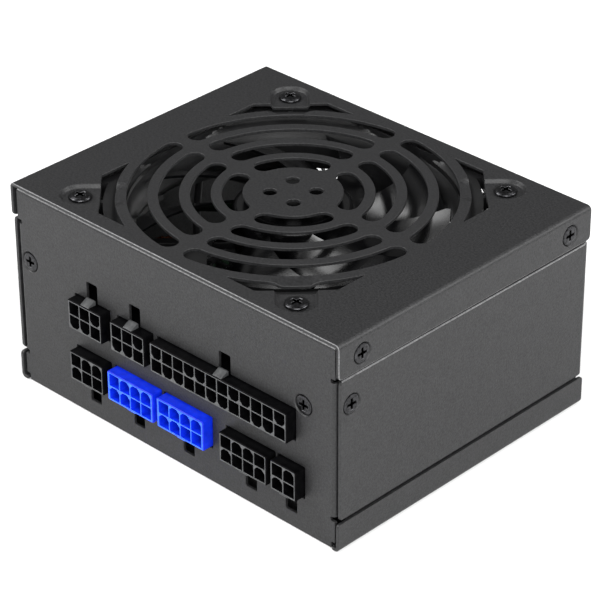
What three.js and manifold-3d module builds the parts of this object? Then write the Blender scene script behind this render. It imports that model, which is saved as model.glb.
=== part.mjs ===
import * as THREE from 'three';
import { mergeVertices } from 'three/addons/utils/BufferGeometryUtils.js';
import Module from 'manifold-3d';

// A small-form-factor computer power supply. A folded steel case holds a 92 mm fan under a
// round grille, a row of detachable-cable sockets on the front and the mains inlet and rocker
// switch on the rear. Millimetres, +Z up: X runs across the width, -Y is the socket side and
// +Y the mains side. The origin is the centre of the case's underside.

const wasm = await Module();
wasm.setup();

// ---- Driving dimensions ----

const WIDTH = 125;
const DEPTH = 100;
const HEIGHT = 63.5;
const HALF_W = WIDTH / 2;
const HALF_D = DEPTH / 2;
const SHEET = 1.0;                 // steel sheet thickness
const GAP = 0.3;                   // clearance between neighbouring sheets
const TIGHT = 0.2;                 // clearance round a fitted piece

const COVER_FOLD = 10.4;           // height of the top cover's side flanges
const TRAY_FOLD = 8.6;             // height of the bottom tray's side flanges
const SHELL_BEND = 1.4;            // outer bend radius of the cover and the tray
const FRAME_BEND = 2.0;            // outer bend radius of the frame's vertical corners
const INNER_X = HALF_W - SHEET - GAP;          // outer plane of the sheets under the flanges
const SEAM_LOW = TRAY_FOLD + GAP;              // lower edge of the frame's outer side band
const SEAM_HIGH = HEIGHT - COVER_FOLD - GAP;   // upper edge of that band
const FRAME_LOW = SHEET + GAP;
const FRAME_HIGH = HEIGHT - SHEET - GAP;
const FRAME_FRONT = -HALF_D + 0.8;
const PANEL_FRONT = -HALF_D + 0.5; // outer face of the socket panel
const PANEL_BACK = PANEL_FRONT + SHEET;

const FAN_X = -2;                  // the fan sits a little left of the case's middle
const FAN_SIZE = 92;
const FAN_DEPTH = 15;
const FAN_SCREW = 41.25;           // half the 82.5 mm fan screw spacing
const FAN_TOP = 61.1;
const FAN_BOTTOM = FAN_TOP - FAN_DEPTH;
const FAN_BORE = 44.4;
const HUB_RADIUS = 16.8;
const BLADES = 9;

const PITCH = 4.2;                 // contact pitch of the cable sockets
const ROW_LOWER = 15.9;            // height of the lower row's middle
const ROW_UPPER = ROW_LOWER + 4 * PITCH;
const SOCKET_HALF_H = 4.8;
const SOCKET_FRONT = -HALF_D - 2.7;
const SOCKET_BACK = -40.7;
const LATCH_SLOT = PITCH;          // width of the panel's cut-out for a plug's latch
const NOTCH_TOP = 43.3;            // upper end of the upper row's latch cut-outs
const NOTCH_FOOT = 4.7;            // lower end of the lower row's

const INLET = { x: 40, z: 21 };
const SWITCH = { x: 14.5, z: 21 };
const ROCK = THREE.MathUtils.degToRad(12);
const BOARD_TOP = 7.6;
const CLEAR = BOARD_TOP + GAP;     // underside of what stands on the main board

// ---- Solid helpers ----

function toManifold(geometry) {
    const bare = geometry.clone();
    bare.deleteAttribute('normal');
    bare.deleteAttribute('uv');
    const welded = mergeVertices(bare, 1e-4);
    const vertProperties = new Float32Array(welded.attributes.position.array);
    const triVerts = new Uint32Array(welded.index.array);
    return new wasm.Manifold(new wasm.Mesh({ numProp: 3, vertProperties, triVerts }));
}

function toGeometry(manifold) {
    const mesh = manifold.getMesh();
    const geometry = new THREE.BufferGeometry();
    geometry.setAttribute('position', new THREE.BufferAttribute(mesh.vertProperties, 3));
    geometry.setIndex(new THREE.BufferAttribute(mesh.triVerts, 1));
    return geometry;
}

function join(geometries) {
    return toGeometry(geometries.map(toManifold).reduce((sum, next) => sum.add(next)));
}

function cut(geometry, tools) {
    const blank = toManifold(geometry);
    return toGeometry(tools.map(toManifold).reduce((rest, tool) => rest.subtract(tool), blank));
}

function box(x0, x1, y0, y1, z0, z1) {
    const geometry = new THREE.BoxGeometry(x1 - x0, y1 - y0, z1 - z0);
    return geometry.translate((x0 + x1) / 2, (y0 + y1) / 2, (z0 + z1) / 2);
}

// A flat outline in the XY plane, raised from z0 to z1.
function prism(shape, z0, z1) {
    const geometry = new THREE.ExtrudeGeometry(shape, { depth: z1 - z0, bevelEnabled: false });
    return geometry.translate(0, 0, z0);
}

// An outline drawn in the XZ plane, extruded from y0 to y1.
function wallPrism(shape, y0, y1) {
    const geometry = prism(shape, 0, y1 - y0);
    return geometry.rotateX(Math.PI / 2).translate(0, y1, 0);
}

// An outline drawn in the YZ plane, extruded from x0 to x1.
function sidePrism(shape, x0, x1) {
    const turn = new THREE.Matrix4().makeBasis(
        new THREE.Vector3(0, 1, 0),
        new THREE.Vector3(0, 0, 1),
        new THREE.Vector3(1, 0, 0),
    );
    return prism(shape, x0, x1).applyMatrix4(turn);
}

// A solid of revolution about Z from [radius, z] pairs that start and end on the axis, or close.
function turned(profile, segments) {
    const points = profile.map(([radius, z]) => new THREE.Vector2(radius, z));
    return new THREE.LatheGeometry(points, segments).rotateX(Math.PI / 2);
}

function disc(radius, z0, z1, segments) {
    return turned([[0, z0], [radius, z0], [radius, z1], [0, z1]], segments);
}

function ring(inner, outer, z0, z1, segments) {
    return turned([[inner, z0], [outer, z0], [outer, z1], [inner, z1], [inner, z0]], segments);
}

function arcPoints(cx, cy, radius, from, to, steps) {
    const points = [];
    for (let i = 0; i <= steps; i++) {
        const angle = from + (to - from) * i / steps;
        points.push(new THREE.Vector2(cx + radius * Math.cos(angle), cy + radius * Math.sin(angle)));
    }
    return points;
}

function rectangle(x0, x1, y0, y1) {
    return [[x0, y0], [x1, y0], [x1, y1], [x0, y1]].map(([x, y]) => new THREE.Vector2(x, y));
}

function roundedRectangle(halfX, halfY, radius, steps) {
    const quarter = Math.PI / 2;
    const corners = [[1, 1, 0], [-1, 1, 1], [-1, -1, 2], [1, -1, 3]];
    return corners.flatMap(([sx, sy, turn]) => arcPoints(
        sx * (halfX - radius), sy * (halfY - radius), radius, turn * quarter, (turn + 1) * quarter, steps,
    ));
}

function moved(points, dx, dy) {
    return points.map((point) => new THREE.Vector2(point.x + dx, point.y + dy));
}

// A folded channel seen end on: its back lies on y = 0 and its two legs point down.
function channelShape(halfWidth, leg, bend) {
    const steps = 3;
    const fold = halfWidth - bend;
    const inner = bend - SHEET;
    return new THREE.Shape([
        new THREE.Vector2(-halfWidth, -leg),
        ...arcPoints(-fold, -bend, bend, Math.PI, Math.PI / 2, steps),
        ...arcPoints(fold, -bend, bend, Math.PI / 2, 0, steps),
        new THREE.Vector2(halfWidth, -leg),
        new THREE.Vector2(halfWidth - SHEET, -leg),
        ...arcPoints(fold, -bend, inner, 0, Math.PI / 2, steps),
        ...arcPoints(-fold, -bend, inner, Math.PI / 2, Math.PI, steps),
        new THREE.Vector2(-halfWidth + SHEET, -leg),
    ]);
}

// ---- Screws ----

const SHANK = 1.3;                 // shank radius of the small countersunk screws
const SHANK_HOLE = SHANK + GAP;
const HEAD = 2.85;
const SCREW_SIDES = 10;

// The cross for the driver, cut down to z = floor.
function crossRecess(reach, width, floor) {
    const above = 3;
    return [
        box(-reach, reach, -width, width, floor, above),
        box(-width, width, -reach, reach, floor, above),
    ];
}

// Countersunk screw along +Z, its head's face just below z = 0.
function countersunkScrew(length) {
    const face = -0.15;
    const neck = -1.25;
    const rim = -0.35;
    const profile = [[0, -length], [SHANK, -length], [SHANK, neck], [HEAD, rim], [HEAD, face], [0, face]];
    const blank = turned(profile, SCREW_SIDES);
    return cut(blank, crossRecess(1.5, 0.35, -0.9));
}

// Pan-head screw along +Z, the underside of its head at z = 0.
function panScrew(length) {
    const radius = 3.3;
    const height = 1.1;
    const shank = 2.0;
    const blank = turned([[0, -length], [shank, -length], [shank, 0], [radius, 0], [radius, height * 0.5],
        [radius * 0.7, height], [0, height]], SCREW_SIDES);
    return cut(blank, crossRecess(1.7, 0.4, 0.25));
}

// The hole that a countersunk screw needs in the sheet whose face is z = 0.
function countersink() {
    return turned([[0, -1.6], [1.9, -1.6], [1.9, -0.9], [3.15, -0.2], [3.15, 1], [0, 1]], SCREW_SIDES);
}

function shankHole() {
    return disc(SHANK_HOLE, -4, 4, SCREW_SIDES);
}

// Turns a piece made along +Z so that it points along the given outward direction, and places it.
function faced(geometry, direction, position) {
    const turn = new THREE.Quaternion().setFromUnitVectors(new THREE.Vector3(0, 0, 1), direction);
    return geometry.clone().applyQuaternion(turn).translate(position.x, position.y, position.z);
}

const UP = new THREE.Vector3(0, 0, 1);
const DOWN = new THREE.Vector3(0, 0, -1);
const FRONT = new THREE.Vector3(0, -1, 0);
const LEFT = new THREE.Vector3(-1, 0, 0);
const RIGHT = new THREE.Vector3(1, 0, 0);

// Where each countersunk screw's face meets its sheet, and which way it points.
const COVER_SCREWS = [[LEFT, -1, -41.25], [LEFT, -1, 41.25], [RIGHT, 1, -41.25], [RIGHT, 1, 41.25]]
    .map(([way, side, y]) => ({ way, at: new THREE.Vector3(side * HALF_W, y, 57.7) }));
const SIDE_SCREWS = [[LEFT, -1], [RIGHT, 1]]
    .map(([way, side]) => ({ way, at: new THREE.Vector3(side * HALF_W, -45.1, 44.2) }));
const PANEL_SCREWS = [-56.5, 49.4]
    .map((x) => ({ way: FRONT, at: new THREE.Vector3(x, PANEL_FRONT, 40) }));
const BOTTOM_SCREWS = [[-46, -44.5], [46, -44.5], [-46, 44.5], [46, 44.5]]
    .map(([x, y]) => ({ way: DOWN, at: new THREE.Vector3(x, y, 0) }));
const CORNERS = [[-1, -1], [1, -1], [-1, 1], [1, 1]];
const FAN_SCREWS = CORNERS.map(([sx, sy]) => new THREE.Vector2(FAN_X + sx * FAN_SCREW, sy * FAN_SCREW));

function place(tool, spots) {
    return spots.map(({ way, at }) => faced(tool, way, at));
}

// ---- Top cover and its grille ----

const GRILLE_HUB = 13.9;           // solid disc in the middle of the grille
const SLOT_WIDTH = 5.7;
const RING_PITCH = 8.7;
const SPOKE_HALF = 2.0;
const WINDOW_INNER = 48.9;         // the corner windows lie outside this radius
const WINDOW_HALF = 45;
const WINDOW_CORNER = 74.8;        // |x| + |y| on the windows' chamfered side
const PAD_DEPTH = 1.2;             // how far the fan screw pads are pressed in
const PAD_RADIUS = 5.3;
const PAD_HOLE = 2.4;              // radius of the fan screws' holes
const HUB_HOLE = { radius: 2, offset: 4.5 };

// A curved slot with round ends, in the quadrant between two spokes.
function slotShape(index, quadrant) {
    const half = SLOT_WIDTH / 2;
    const middle = GRILLE_HUB + half + index * RING_PITCH;
    const edge = Math.asin((SPOKE_HALF + half) / middle);
    const from = quadrant * Math.PI / 2 + edge;
    const to = (quadrant + 1) * Math.PI / 2 - edge;
    const steps = 4 + index;
    const roundEnd = (angle, start) => {
        const [x, y] = [middle * Math.cos(angle), middle * Math.sin(angle)];
        return arcPoints(x, y, half, start, start + Math.PI, 3).slice(1, -1);
    };
    return new THREE.Shape(moved([
        ...arcPoints(0, 0, middle + half, from, to, steps),
        ...roundEnd(to, to),
        ...arcPoints(0, 0, middle - half, to, from, steps),
        ...roundEnd(from, from + Math.PI),
    ], FAN_X, 0));
}

// The window between the outer ring and the corner of the fan, for the corner (sx, sy).
function windowShape(sx, sy) {
    const tip = Math.sqrt(WINDOW_INNER ** 2 - WINDOW_HALF ** 2);
    const inner = Math.atan2(tip, WINDOW_HALF);
    const corner = WINDOW_CORNER - WINDOW_HALF;
    const points = [
        new THREE.Vector2(WINDOW_HALF, corner),
        new THREE.Vector2(corner, WINDOW_HALF),
        ...arcPoints(0, 0, WINDOW_INNER, Math.PI / 2 - inner, inner, 6),
    ];
    const flipped = points.map((point) => new THREE.Vector2(sx * point.x, sy * point.y));
    return new THREE.Shape(moved(flipped, FAN_X, 0));
}

// The D-shaped pad round a fan screw: round towards the corner, square towards the grille.
function padShape(sx, sy, radius) {
    const reach = (2 * FAN_SCREW - WINDOW_CORNER) / Math.SQRT2;
    const outward = Math.atan2(sy, sx);
    const side = new THREE.Vector2(-Math.sin(outward), Math.cos(outward)).multiplyScalar(radius);
    const inward = new THREE.Vector2(Math.cos(outward), Math.sin(outward)).multiplyScalar(-reach);
    const points = arcPoints(0, 0, radius, outward - Math.PI / 2, outward + Math.PI / 2, 6);
    points.push(side.clone().add(inward), inward.clone().sub(side));
    return new THREE.Shape(moved(points, FAN_X + sx * FAN_SCREW, sy * FAN_SCREW));
}

function topCover() {
    const section = channelShape(HALF_W, COVER_FOLD, SHELL_BEND);
    const shell = wallPrism(section, -HALF_D, HALF_D).translate(0, 0, HEIGHT);
    const under = HEIGHT - SHEET;
    const above = HEIGHT + 1;
    const floor = HEIGHT - PAD_DEPTH;
    const lugs = CORNERS.map(([sx, sy]) => (
        prism(padShape(sx, sy, PAD_RADIUS + SHEET), floor - SHEET, under + 0.5)
    ));
    const recesses = CORNERS.map(([sx, sy]) => prism(padShape(sx, sy, PAD_RADIUS), floor, above));
    const openings = CORNERS.map(([sx, sy]) => prism(windowShape(sx, sy), under - 2, above));
    for (let index = 0; index < 4; index++) {
        for (let quadrant = 0; quadrant < 4; quadrant++) {
            openings.push(prism(slotShape(index, quadrant), under - 1, above));
        }
    }
    const hubHoles = CORNERS.map(([sx, sy]) => (
        disc(HUB_HOLE.radius, under - 1, above, 8)
            .translate(FAN_X + sx * HUB_HOLE.offset, sy * HUB_HOLE.offset, 0)
    ));
    const screwHoles = FAN_SCREWS.map(({ x, y }) => (
        disc(PAD_HOLE, under - 3, above, SCREW_SIDES).translate(x, y, 0)
    ));
    return cut(join([shell, ...lugs]),
        [...openings, ...recesses, ...hubHoles, ...screwHoles, ...place(countersink(), COVER_SCREWS)]);
}

// ---- Bottom tray ----

// The socket panel reaches down to the case's underside through a step in the tray's front edge.
const PANEL_FOOT_HALF = 59.7;

function bottomTray() {
    const shell = wallPrism(channelShape(HALF_W, TRAY_FOLD, SHELL_BEND), -HALF_D, HALF_D).rotateY(Math.PI);
    const reach = PANEL_FOOT_HALF + GAP;
    const step = box(-reach, reach, -HALF_D - 1, PANEL_BACK + TIGHT, -1, SHEET + 0.5);
    return cut(shell, [step, ...place(countersink(), BOTTOM_SCREWS)]);
}

// ---- Rear frame: the rear wall and both side walls ----

const CELL_PITCH = 7.4;            // honeycomb cells, flat sides up and down
const CELL_FLATS = 6.4;
const VENT_HALF_X = 54;
const VENT_LOW = 7;
const VENT_HIGH = 58.5;
const MOUNT_HOLE = { x: 56.5, low: 6, high: 57.5, radius: 1.75 };
const INLET_HOLE = { halfX: 13.8, halfZ: 10 };
const SWITCH_HOLE = { halfX: 6.6, halfZ: 9.8 };

function nearFitting(x, z) {
    const byInlet = Math.abs(x - INLET.x) < 18.8 && Math.abs(z - INLET.z) < 14.6;
    const bySwitch = Math.abs(x - SWITCH.x) < 10.6 && Math.abs(z - SWITCH.z) < 13.6;
    const cornerZ = Math.min(z - MOUNT_HOLE.low, MOUNT_HOLE.high - z);
    const byCorner = MOUNT_HOLE.x - Math.abs(x) < 8 && cornerZ < 6;
    return byInlet || bySwitch || byCorner;
}

function honeycomb() {
    const cells = [];
    const columnPitch = CELL_PITCH * Math.sqrt(3) / 2;
    const columns = Math.floor((VENT_HALF_X - CELL_FLATS / 2) / columnPitch);
    for (let column = -columns; column <= columns; column++) {
        const x = column * columnPitch;
        const lift = column % 2 === 0 ? 0 : CELL_PITCH / 2;
        for (let z = VENT_LOW + CELL_FLATS / 2 + lift; z <= VENT_HIGH - CELL_FLATS / 2; z += CELL_PITCH) {
            if (!nearFitting(x, z)) {
                const outline = arcPoints(x, z, CELL_FLATS / Math.sqrt(3), 0, 2 * Math.PI, 6).slice(0, 6);
                cells.push(wallPrism(new THREE.Shape(outline), HALF_D - 3, HALF_D + 1));
            }
        }
    }
    return cells;
}

function fittingHole(centre, hole) {
    return box(centre.x - hole.halfX, centre.x + hole.halfX, HALF_D - 3, HALF_D + 1,
        centre.z - hole.halfZ, centre.z + hole.halfZ);
}

function rearFrame() {
    const middle = prism(channelShape(HALF_W, HALF_D - FRAME_FRONT, FRAME_BEND), SEAM_LOW, SEAM_HIGH);
    const strip = channelShape(INNER_X, DEPTH - 2.5, FRAME_BEND);
    const lowStrip = prism(strip, FRAME_LOW, SEAM_LOW + SHEET);
    const highStrip = prism(strip, SEAM_HIGH - SHEET, FRAME_HIGH);
    const bands = [middle, lowStrip, highStrip].map((band) => band.translate(0, HALF_D, 0));
    const inset = 0.1;
    const [front, rear] = [-HALF_D + 2.7, HALF_D - 1.3];
    const jogs = [-1, 1].flatMap((side) => [SEAM_LOW, SEAM_HIGH - SHEET].map((z) => {
        const reach = [side * (INNER_X - SHEET), side * (HALF_W - SHEET / 2)];
        return box(Math.min(...reach), Math.max(...reach), front, rear, z + inset, z + SHEET - inset);
    }));
    const foot = box(-52, 52, 40, HALF_D - SHEET / 2, FRAME_LOW, FRAME_LOW + SHEET);
    const mountHoles = [-1, 1].flatMap((side) => [MOUNT_HOLE.low, MOUNT_HOLE.high].map((z) => (
        faced(disc(MOUNT_HOLE.radius, -3, 3, 12), FRONT, new THREE.Vector3(side * MOUNT_HOLE.x, HALF_D, z))
    )));
    return cut(join([...bands, ...jogs, foot]), [
        ...honeycomb(),
        ...mountHoles,
        fittingHole(INLET, INLET_HOLE),
        fittingHole(SWITCH, SWITCH_HOLE),
        ...place(shankHole(), COVER_SCREWS),
        ...place(countersink(), SIDE_SCREWS),
        ...place(shankHole(), BOTTOM_SCREWS),
    ]);
}

// ---- Cable sockets and their panel ----

// Each row of keys names the cells from left to right: s is square, d has two corners cut off.
const SOCKETS = [
    { name: 'peripheral_socket_1', x: -30.9, upper: true, keys: ['ssd', 'dds'] },
    { name: 'peripheral_socket_2', x: -13.8, upper: true, keys: ['ssd', 'dds'] },
    { name: 'board_socket', x: 20.75, upper: true, keys: ['dssddssddssd', 'sddssddssdds'] },
    { name: 'peripheral_socket_3', x: -31.15, upper: false, keys: ['sdd', 'dss'] },
    { name: 'graphics_socket_1', x: -13.5, upper: false, blue: true, keys: ['sddd', 'ddss'] },
    { name: 'graphics_socket_2', x: 6.15, upper: false, blue: true, keys: ['sddd', 'ddss'] },
    { name: 'processor_socket_8', x: 30.0, upper: false, keys: ['sdds', 'dssd'] },
    { name: 'processor_socket_4', x: 44.9, upper: false, keys: ['sd', 'ds'] },
];
const CELL_HALF = 1.8;
const CELL_CHAMFER = 1.1;
const CELL_FLOOR = -44.5;

function socketHalfWidth(socket) {
    const margin = socket.blue ? 0.8 : 0.6;
    return socket.keys[0].length * PITCH / 2 + margin;
}

function socketRow(socket) {
    return socket.upper ? ROW_UPPER : ROW_LOWER;
}

// One cell's mouth; chamferSide is +1 where its upper corners are cut off, -1 for the lower ones.
function cellOutline(x, z, key, chamferSide) {
    const h = CELL_HALF;
    const c = key === 'd' ? CELL_CHAMFER : 0;
    const outline = c > 0
        ? [[-h, -h], [h, -h], [h, h - c], [h - c, h], [c - h, h], [-h, h - c]]
        : [[-h, -h], [h, -h], [h, h], [-h, h]];
    return outline.map(([dx, dz]) => new THREE.Vector2(x + dx, z + chamferSide * dz));
}

function socketGeometry(socket) {
    const half = socketHalfWidth(socket);
    const z = socketRow(socket);
    const chamferSide = socket.upper ? -1 : 1;
    const [low, high] = [z - SOCKET_HALF_H, z + SOCKET_HALF_H];
    const block = box(socket.x - half, socket.x + half, SOCKET_FRONT, SOCKET_BACK, low, high);
    const cells = socket.keys.flatMap((row, line) => [...row].map((key, column) => {
        const cellX = socket.x + (column - (row.length - 1) / 2) * PITCH;
        const cellZ = z + (line === 0 ? PITCH / 2 : -PITCH / 2);
        const mouth = new THREE.Shape(cellOutline(cellX, cellZ, key, chamferSide));
        return wallPrism(mouth, SOCKET_FRONT - 1, CELL_FLOOR);
    }));
    return join([cut(block, cells), latchCatch(socket, z)]);
}

// The ramp that a plug's latch hooks over.
function latchCatch(socket, z) {
    const out = socket.upper ? 1 : -1;
    const foot = z + out * (SOCKET_HALF_H - 0.2);
    const crest = z + out * (SOCKET_HALF_H + 1.3);
    const ramp = new THREE.Shape([
        new THREE.Vector2(SOCKET_FRONT + 0.2, foot),
        new THREE.Vector2(PANEL_FRONT - 0.6, crest),
        new THREE.Vector2(PANEL_FRONT - 0.2, crest),
        new THREE.Vector2(PANEL_FRONT - 0.2, foot),
    ]);
    return sidePrism(ramp, socket.x - 1.6, socket.x + 1.6);
}

// The panel's cut-out for one socket, and the notch above or below it for the plug's latch.
function socketCutout(socket) {
    const half = socketHalfWidth(socket) + TIGHT;
    const z = socketRow(socket);
    const reach = SOCKET_HALF_H + TIGHT;
    const [notchLow, notchHigh] = socket.upper ? [z, NOTCH_TOP] : [NOTCH_FOOT, z];
    const [front, back] = [PANEL_FRONT - 1, PANEL_BACK + 1];
    return [
        box(socket.x - half, socket.x + half, front, back, z - reach, z + reach),
        box(socket.x - LATCH_SLOT / 2, socket.x + LATCH_SLOT / 2, front, back, notchLow, notchHigh),
    ];
}

function modularPanel() {
    const lipX = INNER_X - 2;
    const footX = PANEL_FOOT_HALF;
    const pieces = [
        box(-INNER_X, INNER_X, PANEL_FRONT, PANEL_BACK, FRAME_LOW, FRAME_HIGH),
        box(-footX, footX, PANEL_FRONT, PANEL_BACK, 0, FRAME_LOW + SHEET / 2),
        box(-lipX, lipX, PANEL_FRONT, -47.9, FRAME_HIGH - SHEET, FRAME_HIGH),
        box(-lipX, lipX, PANEL_FRONT, -41, FRAME_LOW, FRAME_LOW + SHEET),
        box(-INNER_X, -INNER_X + SHEET, PANEL_FRONT, -41, 11, 50),
        box(INNER_X - SHEET, INNER_X, PANEL_FRONT, -41, 11, 50),
    ];
    return cut(join(pieces), [
        ...SOCKETS.flatMap(socketCutout),
        ...place(countersink(), PANEL_SCREWS),
        ...place(shankHole(), SIDE_SCREWS),
        ...place(shankHole(), BOTTOM_SCREWS),
    ]);
}

// ---- Fan ----

// The fan frame: two flanges, a round duct between them, corner posts, and the motor's seat.
function fanFrame() {
    const half = FAN_SIZE / 2;
    const flange = 3.4;
    const waistLow = FAN_BOTTOM + flange;
    const waistHigh = FAN_TOP - flange;
    const body = prism(new THREE.Shape(roundedRectangle(half, half, 4.5, 3)), FAN_BOTTOM, FAN_TOP);
    const around = new THREE.Shape(rectangle(-half - 1, half + 1, -half - 1, half + 1));
    around.holes.push(new THREE.Path(arcPoints(0, 0, half + 0.4, 0, 2 * Math.PI, 48).slice(0, 48)));
    const waist = prism(around, waistLow, waistHigh);
    const bore = turned([[0, FAN_BOTTOM - 1], [FAN_BORE, FAN_BOTTOM - 1], [FAN_BORE, waistHigh],
        [FAN_BORE + 1, FAN_TOP + 0.5], [0, FAN_TOP + 0.5]], 48);
    const atCorners = (post) => CORNERS.map(([sx, sy]) => (
        post.clone().translate(sx * FAN_SCREW, sy * FAN_SCREW, 0)
    ));
    const posts = atCorners(disc(3.8, waistLow - 0.5, waistHigh + 0.5, 12));
    const holes = atCorners(disc(2.3, FAN_BOTTOM - 1, FAN_TOP + 1, 12));
    const duct = cut(join([cut(body, [waist]), ...posts]), [bore, ...holes]);
    const struts = [0, 1, 2, 3].map((turn) => (
        box(12, FAN_BORE + 0.4, -1.5, 1.5, FAN_BOTTOM, FAN_BOTTOM + 2).rotateZ((turn + 0.5) * Math.PI / 2)
    ));
    const seat = disc(HUB_RADIUS - 0.4, FAN_BOTTOM, FAN_BOTTOM + 1.5, 32);
    const tube = ring(3.4, 4.6, FAN_BOTTOM + 1, FAN_BOTTOM + 10.3, 24);
    return join([duct, ...struts, seat, tube]).translate(FAN_X, 0, 0);
}

const BLADE_ROOT = HUB_RADIUS - 0.8;
const BLADE_TIP = FAN_BORE - 1.1;
const BLADE_TOP = FAN_TOP - 1.7;
const BLADE_DROP = 9.6;
const BLADE_CHORD = THREE.MathUtils.degToRad(37);
const BLADE_LEAD = THREE.MathUtils.degToRad(11.5);   // upper edge of the first blade at its root
const BLADE_SWEEP = THREE.MathUtils.degToRad(1.15);  // how far that edge turns for each mm outwards
const BLADE_THICK = 1.1;

// A point on the upper or lower face of a blade: span and chord run from 0 to 1.
function bladePoint(span, chord, upper) {
    const radius = BLADE_ROOT + span * (BLADE_TIP - BLADE_ROOT);
    const angle = BLADE_LEAD + BLADE_SWEEP * (radius - BLADE_ROOT) - chord * BLADE_CHORD;
    const curved = chord - 0.25 * Math.sin(Math.PI * chord) * chord;
    const z = BLADE_TOP - BLADE_DROP * curved - (upper ? 0 : BLADE_THICK);
    return [radius * Math.cos(angle), radius * Math.sin(angle), z];
}

// One blade: an upper and a lower skin joined round the edge.
function blade() {
    const spans = 3;
    const chords = 4;
    const positions = [];
    for (const upper of [true, false]) {
        for (let i = 0; i <= spans; i++) {
            for (let j = 0; j <= chords; j++) {
                positions.push(...bladePoint(i / spans, j / chords, upper));
            }
        }
    }
    const layer = (spans + 1) * (chords + 1);
    const at = (i, j) => i * (chords + 1) + j;
    const index = [];
    for (let i = 0; i < spans; i++) {
        for (let j = 0; j < chords; j++) {
            const [a, b, c, d] = [at(i, j), at(i + 1, j), at(i + 1, j + 1), at(i, j + 1)];
            index.push(a, c, b, a, d, c);
            index.push(layer + a, layer + b, layer + c, layer + a, layer + c, layer + d);
        }
    }
    const wall = (a, b) => index.push(a, layer + b, layer + a, a, b, layer + b);
    for (let i = 0; i < spans; i++) {
        wall(at(i, 0), at(i + 1, 0));
        wall(at(i + 1, chords), at(i, chords));
    }
    for (let j = 0; j < chords; j++) {
        wall(at(spans, j), at(spans, j + 1));
        wall(at(0, j + 1), at(0, j));
    }
    const geometry = new THREE.BufferGeometry();
    geometry.setAttribute('position', new THREE.Float32BufferAttribute(positions, 3));
    geometry.setIndex(index);
    return geometry;
}

function fanRotor() {
    const top = FAN_TOP - 0.9;
    const round = 1.6;
    const low = FAN_BOTTOM + 2.5;
    const inner = HUB_RADIUS - 1.6;
    const ceiling = top - 1.8;
    const boss = { radius: 4, foot: top - 3.3, bore: 1.65, roof: top - 1.2 };
    const shoulder = arcPoints(HUB_RADIUS - round, top - round, round, Math.PI / 2, 0, 3);
    const profile = [[0, top], ...shoulder.map(({ x, y }) => [x, y]), [HUB_RADIUS, low], [inner, low],
        [inner, ceiling], [boss.radius, ceiling], [boss.radius, boss.foot], [boss.bore, boss.foot],
        [boss.bore, boss.roof], [0, boss.roof]];
    const hub = turned(profile.reverse(), 36);
    const blades = Array.from({ length: BLADES }, (_, i) => blade().rotateZ(i * 2 * Math.PI / BLADES));
    return join([hub, ...blades]).translate(FAN_X, 0, 0);
}

function fanMagnet() {
    return ring(13.9, 15.0, FAN_BOTTOM + 3, FAN_TOP - 4, 24).translate(FAN_X, 0, 0);
}

function fanShaft() {
    return disc(1.5, FAN_BOTTOM + 1.8, FAN_TOP - 2.4, 24).translate(FAN_X, 0, 0);
}

function fanBearing() {
    return ring(1.62, 3.2, FAN_BOTTOM + 1.8, FAN_BOTTOM + 10.5, 24).translate(FAN_X, 0, 0);
}

// The stator: a ring of coils round the bearing tube, with a notch between each pair of poles.
function fanStator() {
    const body = ring(4.8, 13.2, FAN_BOTTOM + 2, FAN_BOTTOM + 9.2, 24);
    const notches = [0, 1, 2, 3].map((turn) => (
        box(9, 15, -1.2, 1.2, FAN_BOTTOM, FAN_BOTTOM + 11).rotateZ(turn * Math.PI / 2)
    ));
    return cut(body, notches).translate(FAN_X, 0, 0);
}

// The fan's lead drops from the frame's underside to its plug on the main board.
const LEAD_ROUTE = [[-50.2, 14, 47.5], [-52.2, 14, 46.6], [-53.4, 13.8, 43], [-53.8, 13, 36],
    [-53.4, 12, 28], [-53, 11.6, 20], [-53, 11.5, 16.2]];
const LEAD_RADIUS = 1.1;

function fanLead() {
    const route = new THREE.CatmullRomCurve3(LEAD_ROUTE.map(([x, y, z]) => new THREE.Vector3(x, y, z)));
    const section = new THREE.Shape(arcPoints(0, 0, LEAD_RADIUS, 0, 2 * Math.PI, 8).slice(0, 8));
    return new THREE.ExtrudeGeometry(section, { steps: 14, extrudePath: route, bevelEnabled: false });
}

function fanPlug() {
    return box(-57, -49, 9, 14, CLEAR, 16);
}

// ---- Mains inlet ----

const INLET_FACE = HALF_D + 2;
const INLET_FLOOR = 35.5;
const INLET_REAR = 30;

// The inlet's mouth: a rectangle whose two upper corners, beside the earth pin, are cut off.
function mouthShape(halfX, halfZ, chamfer) {
    return [[-halfX, -halfZ], [halfX, -halfZ], [halfX, halfZ - chamfer], [halfX - chamfer, halfZ],
        [chamfer - halfX, halfZ], [-halfX, halfZ - chamfer]]
        .map(([x, z]) => new THREE.Vector2(INLET.x + x, INLET.z + z));
}

const INLET_PINS = [
    { name: 'earth_pin', x: 0, z: 2 },
    { name: 'line_pin', x: -7, z: -2 },
    { name: 'neutral_pin', x: 7, z: -2 },
];
const PIN_HALF_X = 1;
const PIN_HALF_Z = 2;

function inletGeometry() {
    const flange = new THREE.Shape(moved(roundedRectangle(15.5, 11.75, 2.5, 4), INLET.x, INLET.z));
    const body = new THREE.Shape(mouthShape(13.5, 9.7, 4.2));
    const cavity = new THREE.Shape(mouthShape(12.2, 8.2, 3.8));
    const outer = join([
        wallPrism(flange, HALF_D + 0.15, INLET_FACE),
        wallPrism(body, INLET_REAR, HALF_D + 0.3),
    ]);
    const slots = INLET_PINS.map(({ x, z }) => box(
        INLET.x + x - PIN_HALF_X - TIGHT, INLET.x + x + PIN_HALF_X + TIGHT, INLET_REAR - 1, INLET_FLOOR + 1,
        INLET.z + z - PIN_HALF_Z - TIGHT, INLET.z + z + PIN_HALF_Z + TIGHT,
    ));
    return cut(outer, [wallPrism(cavity, INLET_FLOOR, INLET_FACE + 1), ...slots]);
}

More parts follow.
